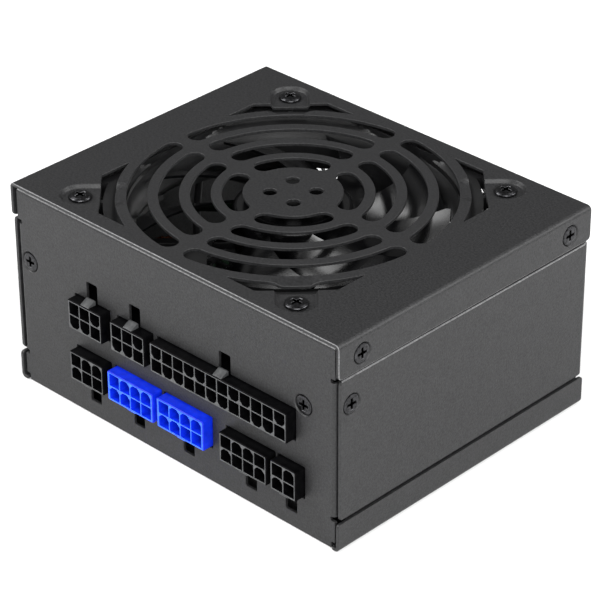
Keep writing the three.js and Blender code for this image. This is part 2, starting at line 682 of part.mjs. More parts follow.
function inletPin({ x, z }) {
    const tongue = [[INLET_REAR - 4, -PIN_HALF_X], [49.9, -PIN_HALF_X], [50.6, -0.5], [50.6, 0.5],
        [49.9, PIN_HALF_X], [INLET_REAR - 4, PIN_HALF_X]];
    const outline = new THREE.Shape(tongue.map(([y, dx]) => new THREE.Vector2(INLET.x + x + dx, y)));
    return prism(outline, INLET.z + z - PIN_HALF_Z, INLET.z + z + PIN_HALF_Z);
}

// ---- Rocker switch ----

const SWITCH_FACE = HALF_D + 1.6;
const PIVOT_Y = 47.5;
const ROCKER_HALF_X = 4.9;
const SWITCH_CAVITY_X = 5.3;
const SWITCH_CAVITY_Z = 9.2;

function switchHousing() {
    const flange = new THREE.Shape(moved(roundedRectangle(7.5, 10.5, 1.2, 3), SWITCH.x, SWITCH.z));
    const halfX = SWITCH_CAVITY_X + 1;
    const halfZ = SWITCH_CAVITY_Z + 0.4;
    const outer = join([
        wallPrism(flange, HALF_D + 0.15, SWITCH_FACE),
        box(SWITCH.x - halfX, SWITCH.x + halfX, 35, HALF_D + 0.3, SWITCH.z - halfZ, SWITCH.z + halfZ),
    ]);
    const cavity = box(SWITCH.x - SWITCH_CAVITY_X, SWITCH.x + SWITCH_CAVITY_X, 41, SWITCH_FACE + 1,
        SWITCH.z - SWITCH_CAVITY_Z, SWITCH.z + SWITCH_CAVITY_Z);
    const pivot = disc(1.3, -halfX + 0.3, halfX - 0.3, 16).rotateY(Math.PI / 2)
        .translate(SWITCH.x, PIVOT_Y, SWITCH.z);
    return cut(outer, [cavity, pivot]);
}

// The rocker with its lower half pressed in; it turns about its two pegs.
function switchRocker() {
    const valley = 4.0;
    const end = 7.8;
    const rise = valley + end * Math.tan(ROCK);
    const waist = { y: 3.4, z: 8.1 };
    const foot = { y: -1.5, z: 5.5 };
    const profile = [[valley, 0], [rise, end], [waist.y, waist.z], [foot.y, foot.z],
        [foot.y, -foot.z], [waist.y, -waist.z], [rise, -end]];
    const shape = new THREE.Shape(profile.map(([y, z]) => new THREE.Vector2(y, z)));
    const pegs = disc(1.15, -6, 6, 16).rotateY(Math.PI / 2);
    return join([sidePrism(shape, -ROCKER_HALF_X, ROCKER_HALF_X), pegs])
        .rotateX(-ROCK)
        .translate(SWITCH.x, PIVOT_Y, SWITCH.z);
}

// ---- Boards ----

const STANDOFFS = [[-50, -32], [50, -32], [-50, 34], [50, 34]].map(([x, y]) => ({ x, y }));

function mainBoard() {
    return box(-58.5, 58.5, -38.2, 45, BOARD_TOP - 1.6, BOARD_TOP);
}

function standoff({ x, y }) {
    return disc(2.4, SHEET + TIGHT, BOARD_TOP - 1.6 - TIGHT, 6).translate(x, y, 0);
}

function insulatingSheet() {
    const sheet = box(-57, 57, -38, 39, SHEET + TIGHT, SHEET + TIGHT + 0.4);
    return cut(sheet, STANDOFFS.map(({ x, y }) => disc(3, 0, 3, 6).translate(x, y, 0)));
}

function modularBoard() {
    return box(-58.5, 58.5, SOCKET_BACK + TIGHT, SOCKET_BACK + TIGHT + 1.6, CLEAR, 45.5);
}

// A spacer between the panel and the modular board, bored for its panel screw.
function boardSpacer(screw) {
    const length = SOCKET_BACK - PANEL_BACK - 2 * TIGHT;
    const [outer, drilled] = [2.6, 5];
    const tube = turned([[0, -length], [outer, -length], [outer, 0], [SHANK_HOLE, 0],
        [SHANK_HOLE, -drilled], [0, -drilled]], 12);
    return faced(tube, FRONT, new THREE.Vector3(screw.at.x, PANEL_BACK + TIGHT, screw.at.z));
}

// ---- Parts on the main board ----

function canCapacitor(x, y, radius, height, segments) {
    const top = CLEAR + height;
    const crimp = [[radius, CLEAR + 1.5], [radius - 0.5, CLEAR + 2], [radius, CLEAR + 2.5]];
    const rim = [[radius, top - 0.6], [radius - 0.6, top], [radius - 1.2, top - 0.3]];
    const profile = [[0, CLEAR], [radius, CLEAR], ...crimp, ...rim, [0, top - 0.3]];
    return turned(profile, segments).translate(x, y, 0);
}

const TRANSFORMER = { x: 0, y: -2, low: 9, high: 35 };

function transformerCore() {
    const { x, y, low, high } = TRANSFORMER;
    const [leg, limb, yoke] = [3.5, 10.5, 5];     // half the middle leg, outer edge of a window, yoke height
    const windows = [-limb, leg].map((left) => (
        box(x + left, x + left + limb - leg, y - 8, y + 8, low + yoke, high - yoke)
    ));
    return cut(box(x - 16, x + 16, y - 7, y + 7, low, high), windows);
}

function transformerWinding() {
    const { x, y, low, high } = TRANSFORMER;
    const outline = new THREE.Shape(moved(roundedRectangle(10.1, 13.4, 4, 4), x, y));
    outline.holes.push(new THREE.Path(moved(roundedRectangle(3.9, 7.4, 0.4, 1), x, y)));
    return prism(outline, low + 5.3, high - 5.3);
}

// A heatsink's outline from above: a spine along X with fins pointing to +Y.
function combShape(length, spine, fin, finThick, finPitch) {
    const points = [new THREE.Vector2(length, 0), new THREE.Vector2(0, 0)];
    for (let x = 0; x + finThick <= length + 0.01; x += finPitch) {
        points.push(new THREE.Vector2(x, spine), new THREE.Vector2(x, fin),
            new THREE.Vector2(x + finThick, fin), new THREE.Vector2(x + finThick, spine));
    }
    return new THREE.Shape(points.filter((point, i) => i === 0 || point.distanceTo(points[i - 1]) > 0.01));
}

function heatsinkPrimary() {
    return prism(combShape(24.2, 2, 8, 1.2, 4.6), CLEAR, 36).translate(33, 8, 0);
}

function heatsinkSecondary() {
    return prism(combShape(43.6, 2, 7, 1.2, 5.3), CLEAR, 33).rotateZ(Math.PI / 2).translate(-21, -21, 0);
}

function toroid(inner, outer, height) {
    const bevel = height * 0.2;
    const lower = [[inner, bevel], [inner + bevel, 0], [outer - bevel, 0], [outer, bevel]];
    const upper = [...lower].reverse().map(([radius, z]) => [radius, height - z]);
    return turned([...lower, ...upper, lower[0]], 16);
}

function toroidChoke() {
    const outer = 13;
    return toroid(6, outer, 10).rotateX(Math.PI / 2).translate(-44.5, -3, CLEAR + outer);
}

function emiChoke() {
    return toroid(4, 9, 9).translate(24, 18, CLEAR);
}

// ---- Materials ----

function finish(color, roughness, metalness) {
    return new THREE.MeshStandardMaterial({ color, roughness, metalness });
}

const caseBlack = () => finish(0x3a3a3a, 0.6, 0.3);
const socketBlack = () => finish(0x101010, 0.4, 0);
const socketBlue = () => finish(0x1a3cfa, 0.4, 0);
const fanBlack = () => finish(0x141414, 0.3, 0);
const screwSteel = () => finish(0x2c2c2c, 0.35, 0.9);
const bareSteel = () => finish(0xb8b8b4, 0.3, 1);
const copper = () => finish(0xa85a2c, 0.35, 0.8);
const boardGreen = () => finish(0x1e3a24, 0.5, 0);
const boardBlack = () => finish(0x151515, 0.5, 0);
const aluminium = () => finish(0xa9abad, 0.4, 1);
const sleeve = () => finish(0x22242c, 0.4, 0);
const ferrite = () => finish(0x2b2b2d, 0.6, 0.1);
const insulator = () => finish(0x9a9a90, 0.5, 0);

// ---- Assembly ----

const supply = new THREE.Group();

function add(name, geometry, material) {
    const mesh = new THREE.Mesh(geometry, material);
    mesh.name = name;
    supply.add(mesh);
}

function addEach(name, items, make, material) {
    items.forEach((item, i) => add(`${name}_${i + 1}`, make(item), material()));
}

add('top_cover', topCover(), caseBlack());
add('bottom_tray', bottomTray(), caseBlack());
add('rear_frame', rearFrame(), caseBlack());
add('modular_panel', modularPanel(), caseBlack());

addEach('cover_screw', COVER_SCREWS, ({ way, at }) => faced(countersunkScrew(5), way, at), screwSteel);
addEach('side_screw', SIDE_SCREWS, ({ way, at }) => faced(countersunkScrew(3.3), way, at), screwSteel);
addEach('panel_screw', PANEL_SCREWS, ({ way, at }) => faced(countersunkScrew(5.5), way, at), screwSteel);
addEach('bottom_screw', BOTTOM_SCREWS, ({ way, at }) => faced(countersunkScrew(4.5), way, at), screwSteel);
const fanScrew = panScrew(8).translate(0, 0, HEIGHT - PAD_DEPTH + 0.1);
addEach('fan_screw', FAN_SCREWS, ({ x, y }) => faced(fanScrew, UP, new THREE.Vector3(x, y, 0)), screwSteel);

add('fan_frame', fanFrame(), fanBlack());
add('fan_rotor', fanRotor(), fanBlack());
add('fan_magnet', fanMagnet(), ferrite());
add('fan_shaft', fanShaft(), bareSteel());
add('fan_bearing', fanBearing(), bareSteel());
add('fan_stator', fanStator(), copper());
add('fan_lead', fanLead(), socketBlack());
add('fan_plug', fanPlug(), socketBlack());

for (const socket of SOCKETS) {
    add(socket.name, socketGeometry(socket), socket.blue ? socketBlue() : socketBlack());
}
add('modular_board', modularBoard(), boardBlack());
addEach('board_spacer', PANEL_SCREWS, boardSpacer, bareSteel);

add('main_board', mainBoard(), boardGreen());
addEach('board_standoff', STANDOFFS, standoff, bareSteel);
add('insulating_sheet', insulatingSheet(), insulator());

add('ac_inlet', inletGeometry(), socketBlack());
INLET_PINS.forEach((pin) => add(pin.name, inletPin(pin), bareSteel()));
add('switch_housing', switchHousing(), socketBlack());
add('switch_rocker', switchRocker(), socketBlack());

add('bulk_capacitor', canCapacitor(37, -10, 13, 33, 18), sleeve());
add('output_capacitor_1', canCapacitor(-12, -30, 4, 20, 10), sleeve());
add('output_capacitor_2', canCapacitor(0, -30, 4, 20, 10), sleeve());
add('transformer_core', transformerCore(), ferrite());
add('transformer_winding', transformerWinding(), copper());
add('heatsink_primary', heatsinkPrimary(), aluminium());
add('heatsink_secondary', heatsinkSecondary(), aluminium());
add('toroid_choke', toroidChoke(), copper());
add('emi_choke', emiChoke(), copper());

export default supply;
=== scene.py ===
import math

import bpy
import numpy as np
from mathutils import Matrix, Vector, geometry


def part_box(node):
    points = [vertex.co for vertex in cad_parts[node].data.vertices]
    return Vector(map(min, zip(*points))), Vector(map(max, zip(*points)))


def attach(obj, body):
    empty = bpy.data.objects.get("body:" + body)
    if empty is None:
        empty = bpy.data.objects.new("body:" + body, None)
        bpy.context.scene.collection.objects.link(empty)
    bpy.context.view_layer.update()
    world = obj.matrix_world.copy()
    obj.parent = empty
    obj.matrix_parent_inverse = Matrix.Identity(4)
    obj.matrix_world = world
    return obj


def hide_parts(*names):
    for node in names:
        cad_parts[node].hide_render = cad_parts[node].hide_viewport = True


# Looks of a small-form-factor power supply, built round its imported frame. Lengths are in
# millimetres until a mesh is made; X is the width, -Y the socket side, +Z up.

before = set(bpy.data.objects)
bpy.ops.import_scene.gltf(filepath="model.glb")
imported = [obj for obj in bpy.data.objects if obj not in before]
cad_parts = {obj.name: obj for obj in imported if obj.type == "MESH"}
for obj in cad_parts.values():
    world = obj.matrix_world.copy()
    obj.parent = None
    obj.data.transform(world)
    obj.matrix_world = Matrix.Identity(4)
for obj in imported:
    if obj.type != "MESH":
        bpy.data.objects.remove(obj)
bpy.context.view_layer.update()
MM = 0.001


# ---- Sizes read from the frame ----

def node_box(name):
    low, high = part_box(name)
    return np.array(low) / MM, np.array(high) / MM


def middle(name):
    low, high = node_box(name)
    return (low + high) / 2


def middles(kind, count):
    """The middles of the numbered nodes of one kind."""
    return [middle(f"{kind}_{i}") for i in range(1, count + 1)]


COVER_LOW, COVER_HIGH = node_box("top_cover")
TRAY_HIGH = node_box("bottom_tray")[1]
FRAME_LOW, FRAME_HIGH = node_box("rear_frame")
PANEL_LOW, PANEL_HIGH = node_box("modular_panel")
FAN_LOW, FAN_HIGH = node_box("fan_frame")

HALF_W = COVER_HIGH[0]
HALF_D = COVER_HIGH[1]
HEIGHT = COVER_HIGH[2]
SHEET = 1.0
GAP = 0.3
FAN_X = (FAN_LOW[0] + FAN_HIGH[0]) / 2
FAN_SCREW = 41.25
FAN_SPOTS = [(FAN_X + sx * FAN_SCREW, sy * FAN_SCREW) for sx in (-1, 1) for sy in (-1, 1)]


# ---- Flat outlines, as lists of (x, y) ----

def arc(cx, cy, radius, start, end, steps):
    angles = np.linspace(start, end, steps + 1)
    return [(cx + radius * math.cos(a), cy + radius * math.sin(a)) for a in angles]


def circle(cx, cy, radius, steps=32):
    return arc(cx, cy, radius, 0, 2 * math.pi, steps)[:-1]


def rectangle(x0, y0, x1, y1):
    return [(x0, y0), (x1, y0), (x1, y1), (x0, y1)]


def rounded(points, radius, steps=4):
    """The polygon with every corner replaced by an arc; radius is one number or one per corner."""
    count = len(points)
    radii = radius if isinstance(radius, (list, tuple)) else [radius] * count
    out = []
    for i in range(count):
        here = np.array(points[i], float)
        back = np.array(points[i - 1], float) - here
        ahead = np.array(points[(i + 1) % count], float) - here
        back_length, ahead_length = np.linalg.norm(back), np.linalg.norm(ahead)
        back, ahead = back / back_length, ahead / ahead_length
        half = math.acos(max(-1, min(1, float(back @ ahead)))) / 2
        reach = min(radii[i] / math.tan(half), back_length * 0.49, ahead_length * 0.49)
        if reach < 1e-6:
            out.append(tuple(here))
            continue
        for k in range(steps + 1):
            t = k / steps
            bend = (1 - t) ** 2 * back * reach + t**2 * ahead * reach
            out.append(tuple(here + bend))
    return out


def moved(points, dx, dy):
    return [(x + dx, y + dy) for x, y in points]


def mirrored(points, sx, sy):
    return [(sx * x, sy * y) for x, y in points]


def both_sides(right):
    """An outline's right half and its mirror image, as one loop."""
    return right + [(-u, v) for u, v in reversed(right)]


def area(loop):
    a = np.asarray(loop, float)
    b = np.roll(a, -1, axis=0)
    return 0.5 * float(np.sum(a[:, 0] * b[:, 1] - b[:, 0] * a[:, 1]))


def wound(loop, clockwise):
    return list(loop)[::-1] if (area(loop) < 0) != clockwise else list(loop)


def outward(loop):
    """At each point of a loop, the move away from the material that shifts both its edges by 1."""
    a = np.asarray(loop, float)
    before = a - np.roll(a, 1, axis=0)
    after = np.roll(a, -1, axis=0) - a
    before /= np.linalg.norm(before, axis=1)[:, None]
    after /= np.linalg.norm(after, axis=1)[:, None]
    right = np.stack([before[:, 1], -before[:, 0]], 1) + np.stack([after[:, 1], -after[:, 0]], 1)
    return right / np.maximum(1 + np.sum(before * after, axis=1), 0.3)[:, None]


def inside(points, loops):
    """Which points lie inside an odd number of the loops."""
    p = np.asarray(points, float)
    odd = np.zeros(len(p), bool)
    for loop in loops:
        a = np.asarray(loop, float)
        b = np.roll(a, -1, axis=0)
        for (x0, y0), (x1, y1) in zip(a, b):
            if y0 == y1:
                continue
            crosses = (p[:, 1] >= min(y0, y1)) & (p[:, 1] < max(y0, y1))
            at = x0 + (p[:, 1] - y0) * (x1 - x0) / (y1 - y0)
            odd ^= crosses & (p[:, 0] < at)
    return odd


def triangulate(loops, creases=()):
    """Points and counter-clockwise triangles of the area between the loops, with creases as edges."""
    points, edges = [], []
    for loop in loops:
        start = len(points)
        points += [Vector(p) for p in loop]
        edges += [(start + i, start + (i + 1) % len(loop)) for i in range(len(loop))]
    for line in creases:
        start = len(points)
        points += [Vector(p) for p in line]
        edges += [(start + i, start + i + 1) for i in range(len(line) - 1)]
    found = geometry.delaunay_2d_cdt(points, edges, [], 0, 1e-5, False)
    spots = np.array([tuple(v) for v in found[0]])
    faces = np.array([tuple(f) for f in found[2]])
    faces = faces[inside(spots[faces].mean(axis=1), loops)]
    a, b, c = spots[faces[:, 0]], spots[faces[:, 1]], spots[faces[:, 2]]
    turn = (b[:, 0] - a[:, 0]) * (c[:, 1] - a[:, 1]) - (b[:, 1] - a[:, 1]) * (c[:, 0] - a[:, 0])
    faces[turn < 0] = faces[turn < 0][:, ::-1]
    return spots, faces


def rims(faces):
    """The boundary loops of a set of triangles, with the material on the left."""
    edges = {(int(f[i]), int(f[(i + 1) % 3])) for f in faces for i in range(3)}
    ahead = {a: b for a, b in edges if (b, a) not in edges}
    loops = []
    while ahead:
        start, here = ahead.popitem()
        loop = [start]
        while here != start:
            loop.append(here)
            here = ahead.pop(here)
        loops.append(loop)
    return loops


# ---- Meshes ----

class Shell:
    """The points and faces of one piece while it is being built, in millimetres."""

    def __init__(self):
        self.points = []
        self.faces = []
        self.slots = []
        self.slot = 0

    def ring(self, points):
        start = len(self.points)
        self.points += [tuple(map(float, p)) for p in points]
        return list(range(start, len(self.points)))

    def face(self, indices):
        self.faces.append(tuple(indices))
        self.slots.append(self.slot)

    def strip(self, lower, upper):
        """Quads between two closed rings of the same length."""
        count = len(lower)
        for i in range(count):
            j = (i + 1) % count
            self.face((lower[i], lower[j], upper[j], upper[i]))

    def strips(self, rings):
        """Quads from each ring to the next."""
        for lower, upper in zip(rings, rings[1:]):
            self.strip(lower, upper)

    def loft(self, rings, cap_start=True, cap_end=True):
        """A tube through the rings, given as lists of points, closed at its ends."""
        made = [self.ring(ring) for ring in rings]
        self.strips(made)
        if cap_start:
            self.face(made[0][::-1])
        if cap_end:
            self.face(made[-1])
        return made

    def plate(self, outline, holes, flat, flip=False):
        """Fills the flat area between rings that exist already. flat maps a 3-D point to 2-D."""
        rings = [outline, *holes]
        loops = [[flat(self.points[i]) for i in ring] for ring in rings]
        order = [i for ring in rings for i in ring]
        for triangle in triangulate(loops)[1]:
            indices = [order[k] for k in triangle]
            self.face(indices[::-1] if flip else indices)

    def shift(self, dx, dy, dz=0.0):
        self.points = [(x + dx, y + dy, z + dz) for x, y, z in self.points]


def from_above(point):
    return point[0], point[1]


def from_behind(point):
    return point[0], point[2]


def linked(name, data):
    """An object for a mesh, a lamp or a camera, in the scene."""
    thing = bpy.data.objects.new(name, data)
    bpy.context.scene.collection.objects.link(thing)
    return thing


def ease_edges(piece, width, angle):
    """Rounds the edges sharper than the angle, in degrees, by a width in millimetres."""
    ease = piece.modifiers.new("ease", "BEVEL")
    ease.width = width * MM
    ease.segments = 2
    ease.limit_method = "ANGLE"
    ease.angle_limit = math.radians(angle)


def as_object(shell, name, materials, bevel=0.0, smooth=35, body="case", replaces=()):
    """The piece made from a shell, shaded smooth below an angle, its sharp edges eased by bevel."""
    mesh = bpy.data.meshes.new(name)
    mesh.from_pydata([Vector(p) * MM for p in shell.points], [], shell.faces)
    for material in materials:
        mesh.materials.append(material)
    mesh.polygons.foreach_set("material_index", shell.slots)
    mesh.polygons.foreach_set("use_smooth", [True] * len(mesh.polygons))
    mesh.update()
    piece = linked(name, mesh)
    if bevel:
        ease_edges(piece, bevel, smooth)
    mesh.set_sharp_from_angle(angle=math.radians(smooth))
    if bevel:
        weigh = piece.modifiers.new("weigh", "WEIGHTED_NORMAL")
        weigh.keep_sharp = False
    return settled(piece, body, replaces)


def settled(piece, body, replaces):
    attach(piece, body)
    if replaces:
        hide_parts(*replaces)
    return piece


def ring_at(radius, z, steps, cx=0.0, cy=0.0):
    return [(x, y, z) for x, y in circle(cx, cy, radius, steps)]


def turned(shell, profile, steps=48, cx=0.0, cy=0.0):
    """A solid of revolution about Z, from [radius, z] pairs going up the outside."""
    return shell.loft([ring_at(radius, z, steps, cx, cy) for radius, z in profile])


def placed(shell, basis, origin):
    """Turns a shell made along +Z so that its x, y and z follow the basis, and moves it."""
    turn = np.array(basis, float).T
    points = np.array(shell.points) @ turn.T + np.array(origin, float)
    shell.points = [tuple(p) for p in points]
    return shell


TO_FRONT = [(1, 0, 0), (0, 0, 1), (0, -1, 0)]
TO_RIGHT = [(0, 1, 0), (0, 0, 1), (1, 0, 0)]
TO_LEFT = [(0, -1, 0), (0, 0, 1), (-1, 0, 0)]
TO_FLOOR = [(1, 0, 0), (0, -1, 0), (0, 0, -1)]


# ---- Sheet metal ----

EASE_STEPS = (0.0, 30.0, 60.0, 90.0)    # where a cut edge's round has its rows, in degrees
NUDGE = 1e-3                            # the step that finds the skin's directions


class FoldedSheet:
    """The skin of a bent sheet while it is being built: points with their normals, and faces."""

    def __init__(self, place):
        self.place = place
        self.points = []
        self.normals = []
        self.faces = []
        self.finishes = []

    def at(self, uv, depth):
        return np.stack(self.place(uv[:, 0], uv[:, 1], np.full(len(uv), depth)), 1)

    def layer(self, uv, depth, away, angle, side):
        """Adds points at one depth and gives the index of the first.

        away is the way out of the material, angle says how far round the edge the points are, and
        side is 1 towards the outer face and -1 towards the inner one.
        """
        start = sum(len(p) for p in self.points)
        here = self.at(uv, depth)
        along_u = self.at(uv + (NUDGE, 0), depth) - here
        along_v = self.at(uv + (0, NUDGE), depth) - here
        face = np.cross(along_u, along_v)
        face /= np.linalg.norm(face, axis=1)[:, None]
        edge = away[:, :1] * along_u + away[:, 1:] * along_v
        length = np.linalg.norm(edge, axis=1)[:, None]
        edge = np.where(length > 0, edge / np.maximum(length, 1e-12), 0)
        self.points.append(here)
        self.normals.append(side * math.cos(angle) * face + math.sin(angle) * edge)
        return start

    def band(self, upper, lower, finish):
        """Quads between two rows of points round a rim."""
        for i in range(len(upper)):
            j = (i + 1) % len(upper)
            self.faces.append((upper[j], upper[i], lower[i], lower[j]))
            self.finishes.append(finish)

    def round_edge(self, rim, uv, skins, ease, finish):
        """The rounded edge along a rim, between the two skins. Its outer round gets the finish; finish 1 is
        the lighter coat of a painted highlight.
        """
        away = outward(uv)
        rows = [list(rim + skins[0])]
        for side, angles in ((1, EASE_STEPS[1:]), (-1, EASE_STEPS[:0:-1])):
            for degrees in angles:
                angle = math.radians(degrees)
                fall = ease * (1 - math.cos(angle))
                depth = fall if side > 0 else SHEET - fall
                start = self.layer(uv + away * ease * math.sin(angle), depth, away, angle, side)
                rows.append(list(range(start, start + len(rim))))
        rows.append(list(rim + skins[1]))
        for k, (upper, lower) in enumerate(zip(rows, rows[1:])):
            self.band(upper, lower, finish if k < len(EASE_STEPS) - 1 else 0)


def sheet_part(name, loops, place, creases, replaces, ease=0.2, extra=None, rim_highlight=0, painted_highlight_at=None):
    """Folded sheet metal: a flat pattern with holes, bent and pressed by place(u, v, depth).

    loops[0] is the pattern's outline and the rest are holes. place maps arrays of u, v and the
    depth below the outer face to x, y and z. Every cut edge gets a small round on both faces. The
    outer round of the outline gets the given rim slot, and the skin where the given test of (u, v)
    holds gets slot 1; slot 1 is the lighter coat of a painted highlight. extra is a plain shell
    that becomes part of the piece.
    """
    inner = []
    for i, loop in enumerate(loops):
        run = wound(loop, clockwise=i > 0)
        inner.append([tuple(p) for p in np.asarray(run) - ease * outward(run)])
    spots, faces = triangulate(inner, creases)
    sheet = FoldedSheet(place)
    still = np.zeros_like(spots)
    skins = [sheet.layer(spots, depth, still, 0.0, side) for depth, side in ((0.0, 1), (SHEET, -1))]
    sheet.faces += [tuple(f) for f in (faces + skins[0]).tolist()]
    sheet.faces += [tuple(f) for f in (faces[:, ::-1] + skins[1]).tolist()]
    sheet.finishes = [0] * len(sheet.faces)
    # The skin picked by the test gets the lighter coat: a painted highlight.
    if painted_highlight_at:
        centres = spots[faces].mean(1)
        sheet.finishes[:len(faces)] = painted_highlight_at(centres[:, 0], centres[:, 1]).astype(int).tolist()
    edges = rims(faces)
    outline = max(edges, key=lambda rim: abs(area(spots[rim])))
    for rim in edges:
        sheet.round_edge(np.array(rim), spots[rim], skins, ease, rim_highlight if rim is outline else 0)
    return sheet_object(name, sheet, extra, replaces)


def sheet_object(name, sheet, extra, replaces):
    """The piece made from a folded sheet, with its own normals, and from the extra shell."""
    points = np.concatenate(sheet.points)
    normals = np.concatenate(sheet.normals)
    normals /= np.linalg.norm(normals, axis=1)[:, None]
    faces, finishes = list(sheet.faces), list(sheet.finishes)
    if extra:
        start = len(points)
        points = np.concatenate([points, np.array(extra.points)])
        faces += [tuple(i + start for i in face) for face in extra.faces]
        finishes += [0] * len(extra.faces)
    mesh = bpy.data.meshes.new(name)
    mesh.from_pydata([Vector(p) * MM for p in points], [], faces)
    mesh.materials.append(POWDER_COAT)
    # Slot 1 is the lighter coat: a painted highlight on rims, folds and seams.
    mesh.materials.append(POWDER_PAINTED_HIGHLIGHT)
    mesh.polygons.foreach_set("material_index", finishes)
    mesh.polygons.foreach_set("use_smooth", [True] * len(mesh.polygons))
    mesh.update()
    if extra:
        plain = np.array([tuple(v.normal) for v in mesh.vertices])[len(normals):]
        normals = np.concatenate([normals, plain])
    mesh.normals_split_custom_set_from_vertices([tuple(n) for n in normals])
    return settled(linked(name, mesh), "case", replaces)


def smoothstep(x):
    x = np.clip(x, 0, 1)
    return x * x * (3 - 2 * x)


def channel(half_width, leg, bend):
    """place() for a channel whose back is z = 0 and whose legs hang down, and its half pattern width."""
    flat = half_width - bend
    turn = bend * math.pi / 2

    def place(u, v, depth):
        side = np.sign(u)
        past = np.abs(u) - flat
        angle = np.clip(past / bend, 0, math.pi / 2)
        radius = bend - depth
        down = np.maximum(past - turn, 0)
        x = side * (np.minimum(np.abs(u), flat) + radius * np.sin(angle))
        z = -bend + radius * np.cos(angle) - down
        return x, v, z

    return place, flat + turn + leg - bend


def bend_lines(half_width, bend, low, high, steps=8):
    """Creases where a channel's bends start, turn and end."""
    flat = half_width - bend
    lines = []
    for side in (-1, 1):
        for k in range(steps + 1):
            u = side * (flat + bend * math.pi / 2 * k / steps)
            lines.append([(u, low), (u, high)])
    return lines


def leg_u(half_width, bend, drop):
    """Where on the pattern a point of the leg lies, drop below the channel's back."""
    return half_width - bend + bend * math.pi / 2 + drop - bend


# A screw dimple: its radius at the rim and at the bottom, its depth, and its hole's radius.
DIMPLE_RIM = 3.4
DIMPLE_FOOT = 2.6
DIMPLE_DEPTH = 0.8
DIMPLE_HOLE = 1.7


def dimple_depth(u, v, spots):
    depth = np.zeros_like(u)
    for cu, cv in spots:
        fall = (DIMPLE_RIM - np.hypot(u - cu, v - cv)) / (DIMPLE_RIM - DIMPLE_FOOT)
        depth = np.maximum(depth, DIMPLE_DEPTH * smoothstep(fall))
    return depth


def dimple_creases(spots):
    lines = []
    for cu, cv in spots:
        for radius in np.linspace(DIMPLE_RIM, DIMPLE_FOOT, 6):
            loop = circle(cu, cv, radius, 36)
            lines.append([*loop, loop[0]])
    return lines


def dimple_holes(spots):
    return [circle(cu, cv, DIMPLE_HOLE, 24) for cu, cv in spots]


# ---- Top cover and its grille ----

COVER_FOLD = HEIGHT - COVER_LOW[2]
SHELL_BEND = 1.4
GRILLE_HUB = 13.9
SLOT_WIDTH = 5.7
RING_PITCH = 8.7
SPOKE_HALF = 2.0
WINDOW_INNER = 48.9
WINDOW_HALF = 45.0
WINDOW_CORNER = 74.8
PAD_DEPTH = 1.2
PAD_RIM = 5.9
PAD_FOOT = 4.9
PAD_REACH = 12.0                # how far a pad runs from its screw towards the fan's axis
HUB_HOLE = 2.0
HUB_HOLE_OFFSET = 4.5
FAN_SCREW_HOLE = 2.4


def slot_outline(index, quadrant):
    """One curved slot with round ends, between two spokes of the grille."""
    half = SLOT_WIDTH / 2
    radius = GRILLE_HUB + half + index * RING_PITCH
    edge = math.asin((SPOKE_HALF + half) / radius)
    start, end = quadrant * math.pi / 2 + edge, (quadrant + 1) * math.pi / 2 - edge
    steps = 14 + 6 * index
    far = (radius * math.cos(end), radius * math.sin(end))
    near = (radius * math.cos(start), radius * math.sin(start))
    outline = arc(0, 0, radius + half, start, end, steps)
    outline += arc(*far, half, end, end + math.pi, 10)[1:-1]
    outline += arc(0, 0, radius - half, end, start, steps)
    outline += arc(*near, half, start + math.pi, start + 2 * math.pi, 10)[1:-1]
    return moved(outline, FAN_X, 0)


def window_outline(sx, sy):
    """The opening between the outer ring of the grille and one corner of the fan."""
    tip = math.sqrt(WINDOW_INNER**2 - WINDOW_HALF**2)
    swing = math.atan2(tip, WINDOW_HALF)
    side = WINDOW_CORNER - WINDOW_HALF
    inner = arc(0, 0, WINDOW_INNER, math.pi / 2 - swing, swing, 20)
    points = [(WINDOW_HALF, side), (side, WINDOW_HALF), *inner]
    radii = [0.9, 0.9, 0.5, *[0.0] * (len(inner) - 2), 0.5]
    return moved(mirrored(rounded(points, radii), sx, sy), FAN_X, 0)


def pad_depth(x, y):
    """How far the sheet is pressed in round the fan screws."""
    depth = np.zeros_like(x)
    for cx, cy in FAN_SPOTS:
        sx, sy = math.copysign(1, cx - FAN_X), math.copysign(1, cy)
        inward = -((x - cx) * sx + (y - cy) * sy) / math.sqrt(2)
        across = ((x - cx) * sy - (y - cy) * sx) / math.sqrt(2)
        radius = np.where(inward > 0, np.abs(across), np.hypot(inward, across))
        near = inward < PAD_REACH
        fall = (PAD_RIM - radius) / (PAD_RIM - PAD_FOOT)
        depth = np.maximum(depth, near * PAD_DEPTH * smoothstep(fall))
    return depth


def pad_creases():
    """Lines round each pad where its pressed wall starts, curves and ends."""
    lines = []
    for cx, cy in FAN_SPOTS:
        out = math.atan2(cy, cx - FAN_X)
        inward = (-6.5 * math.cos(out), -6.5 * math.sin(out))
        for radius in np.linspace(PAD_RIM, PAD_FOOT, 7):
            line = arc(cx, cy, radius, out - math.pi / 2, out + math.pi / 2, 20)
            first, last = line[0], line[-1]
            line.insert(0, (first[0] + inward[0], first[1] + inward[1]))
            line.append((last[0] + inward[0], last[1] + inward[1]))
            lines.append(line)
    return lines


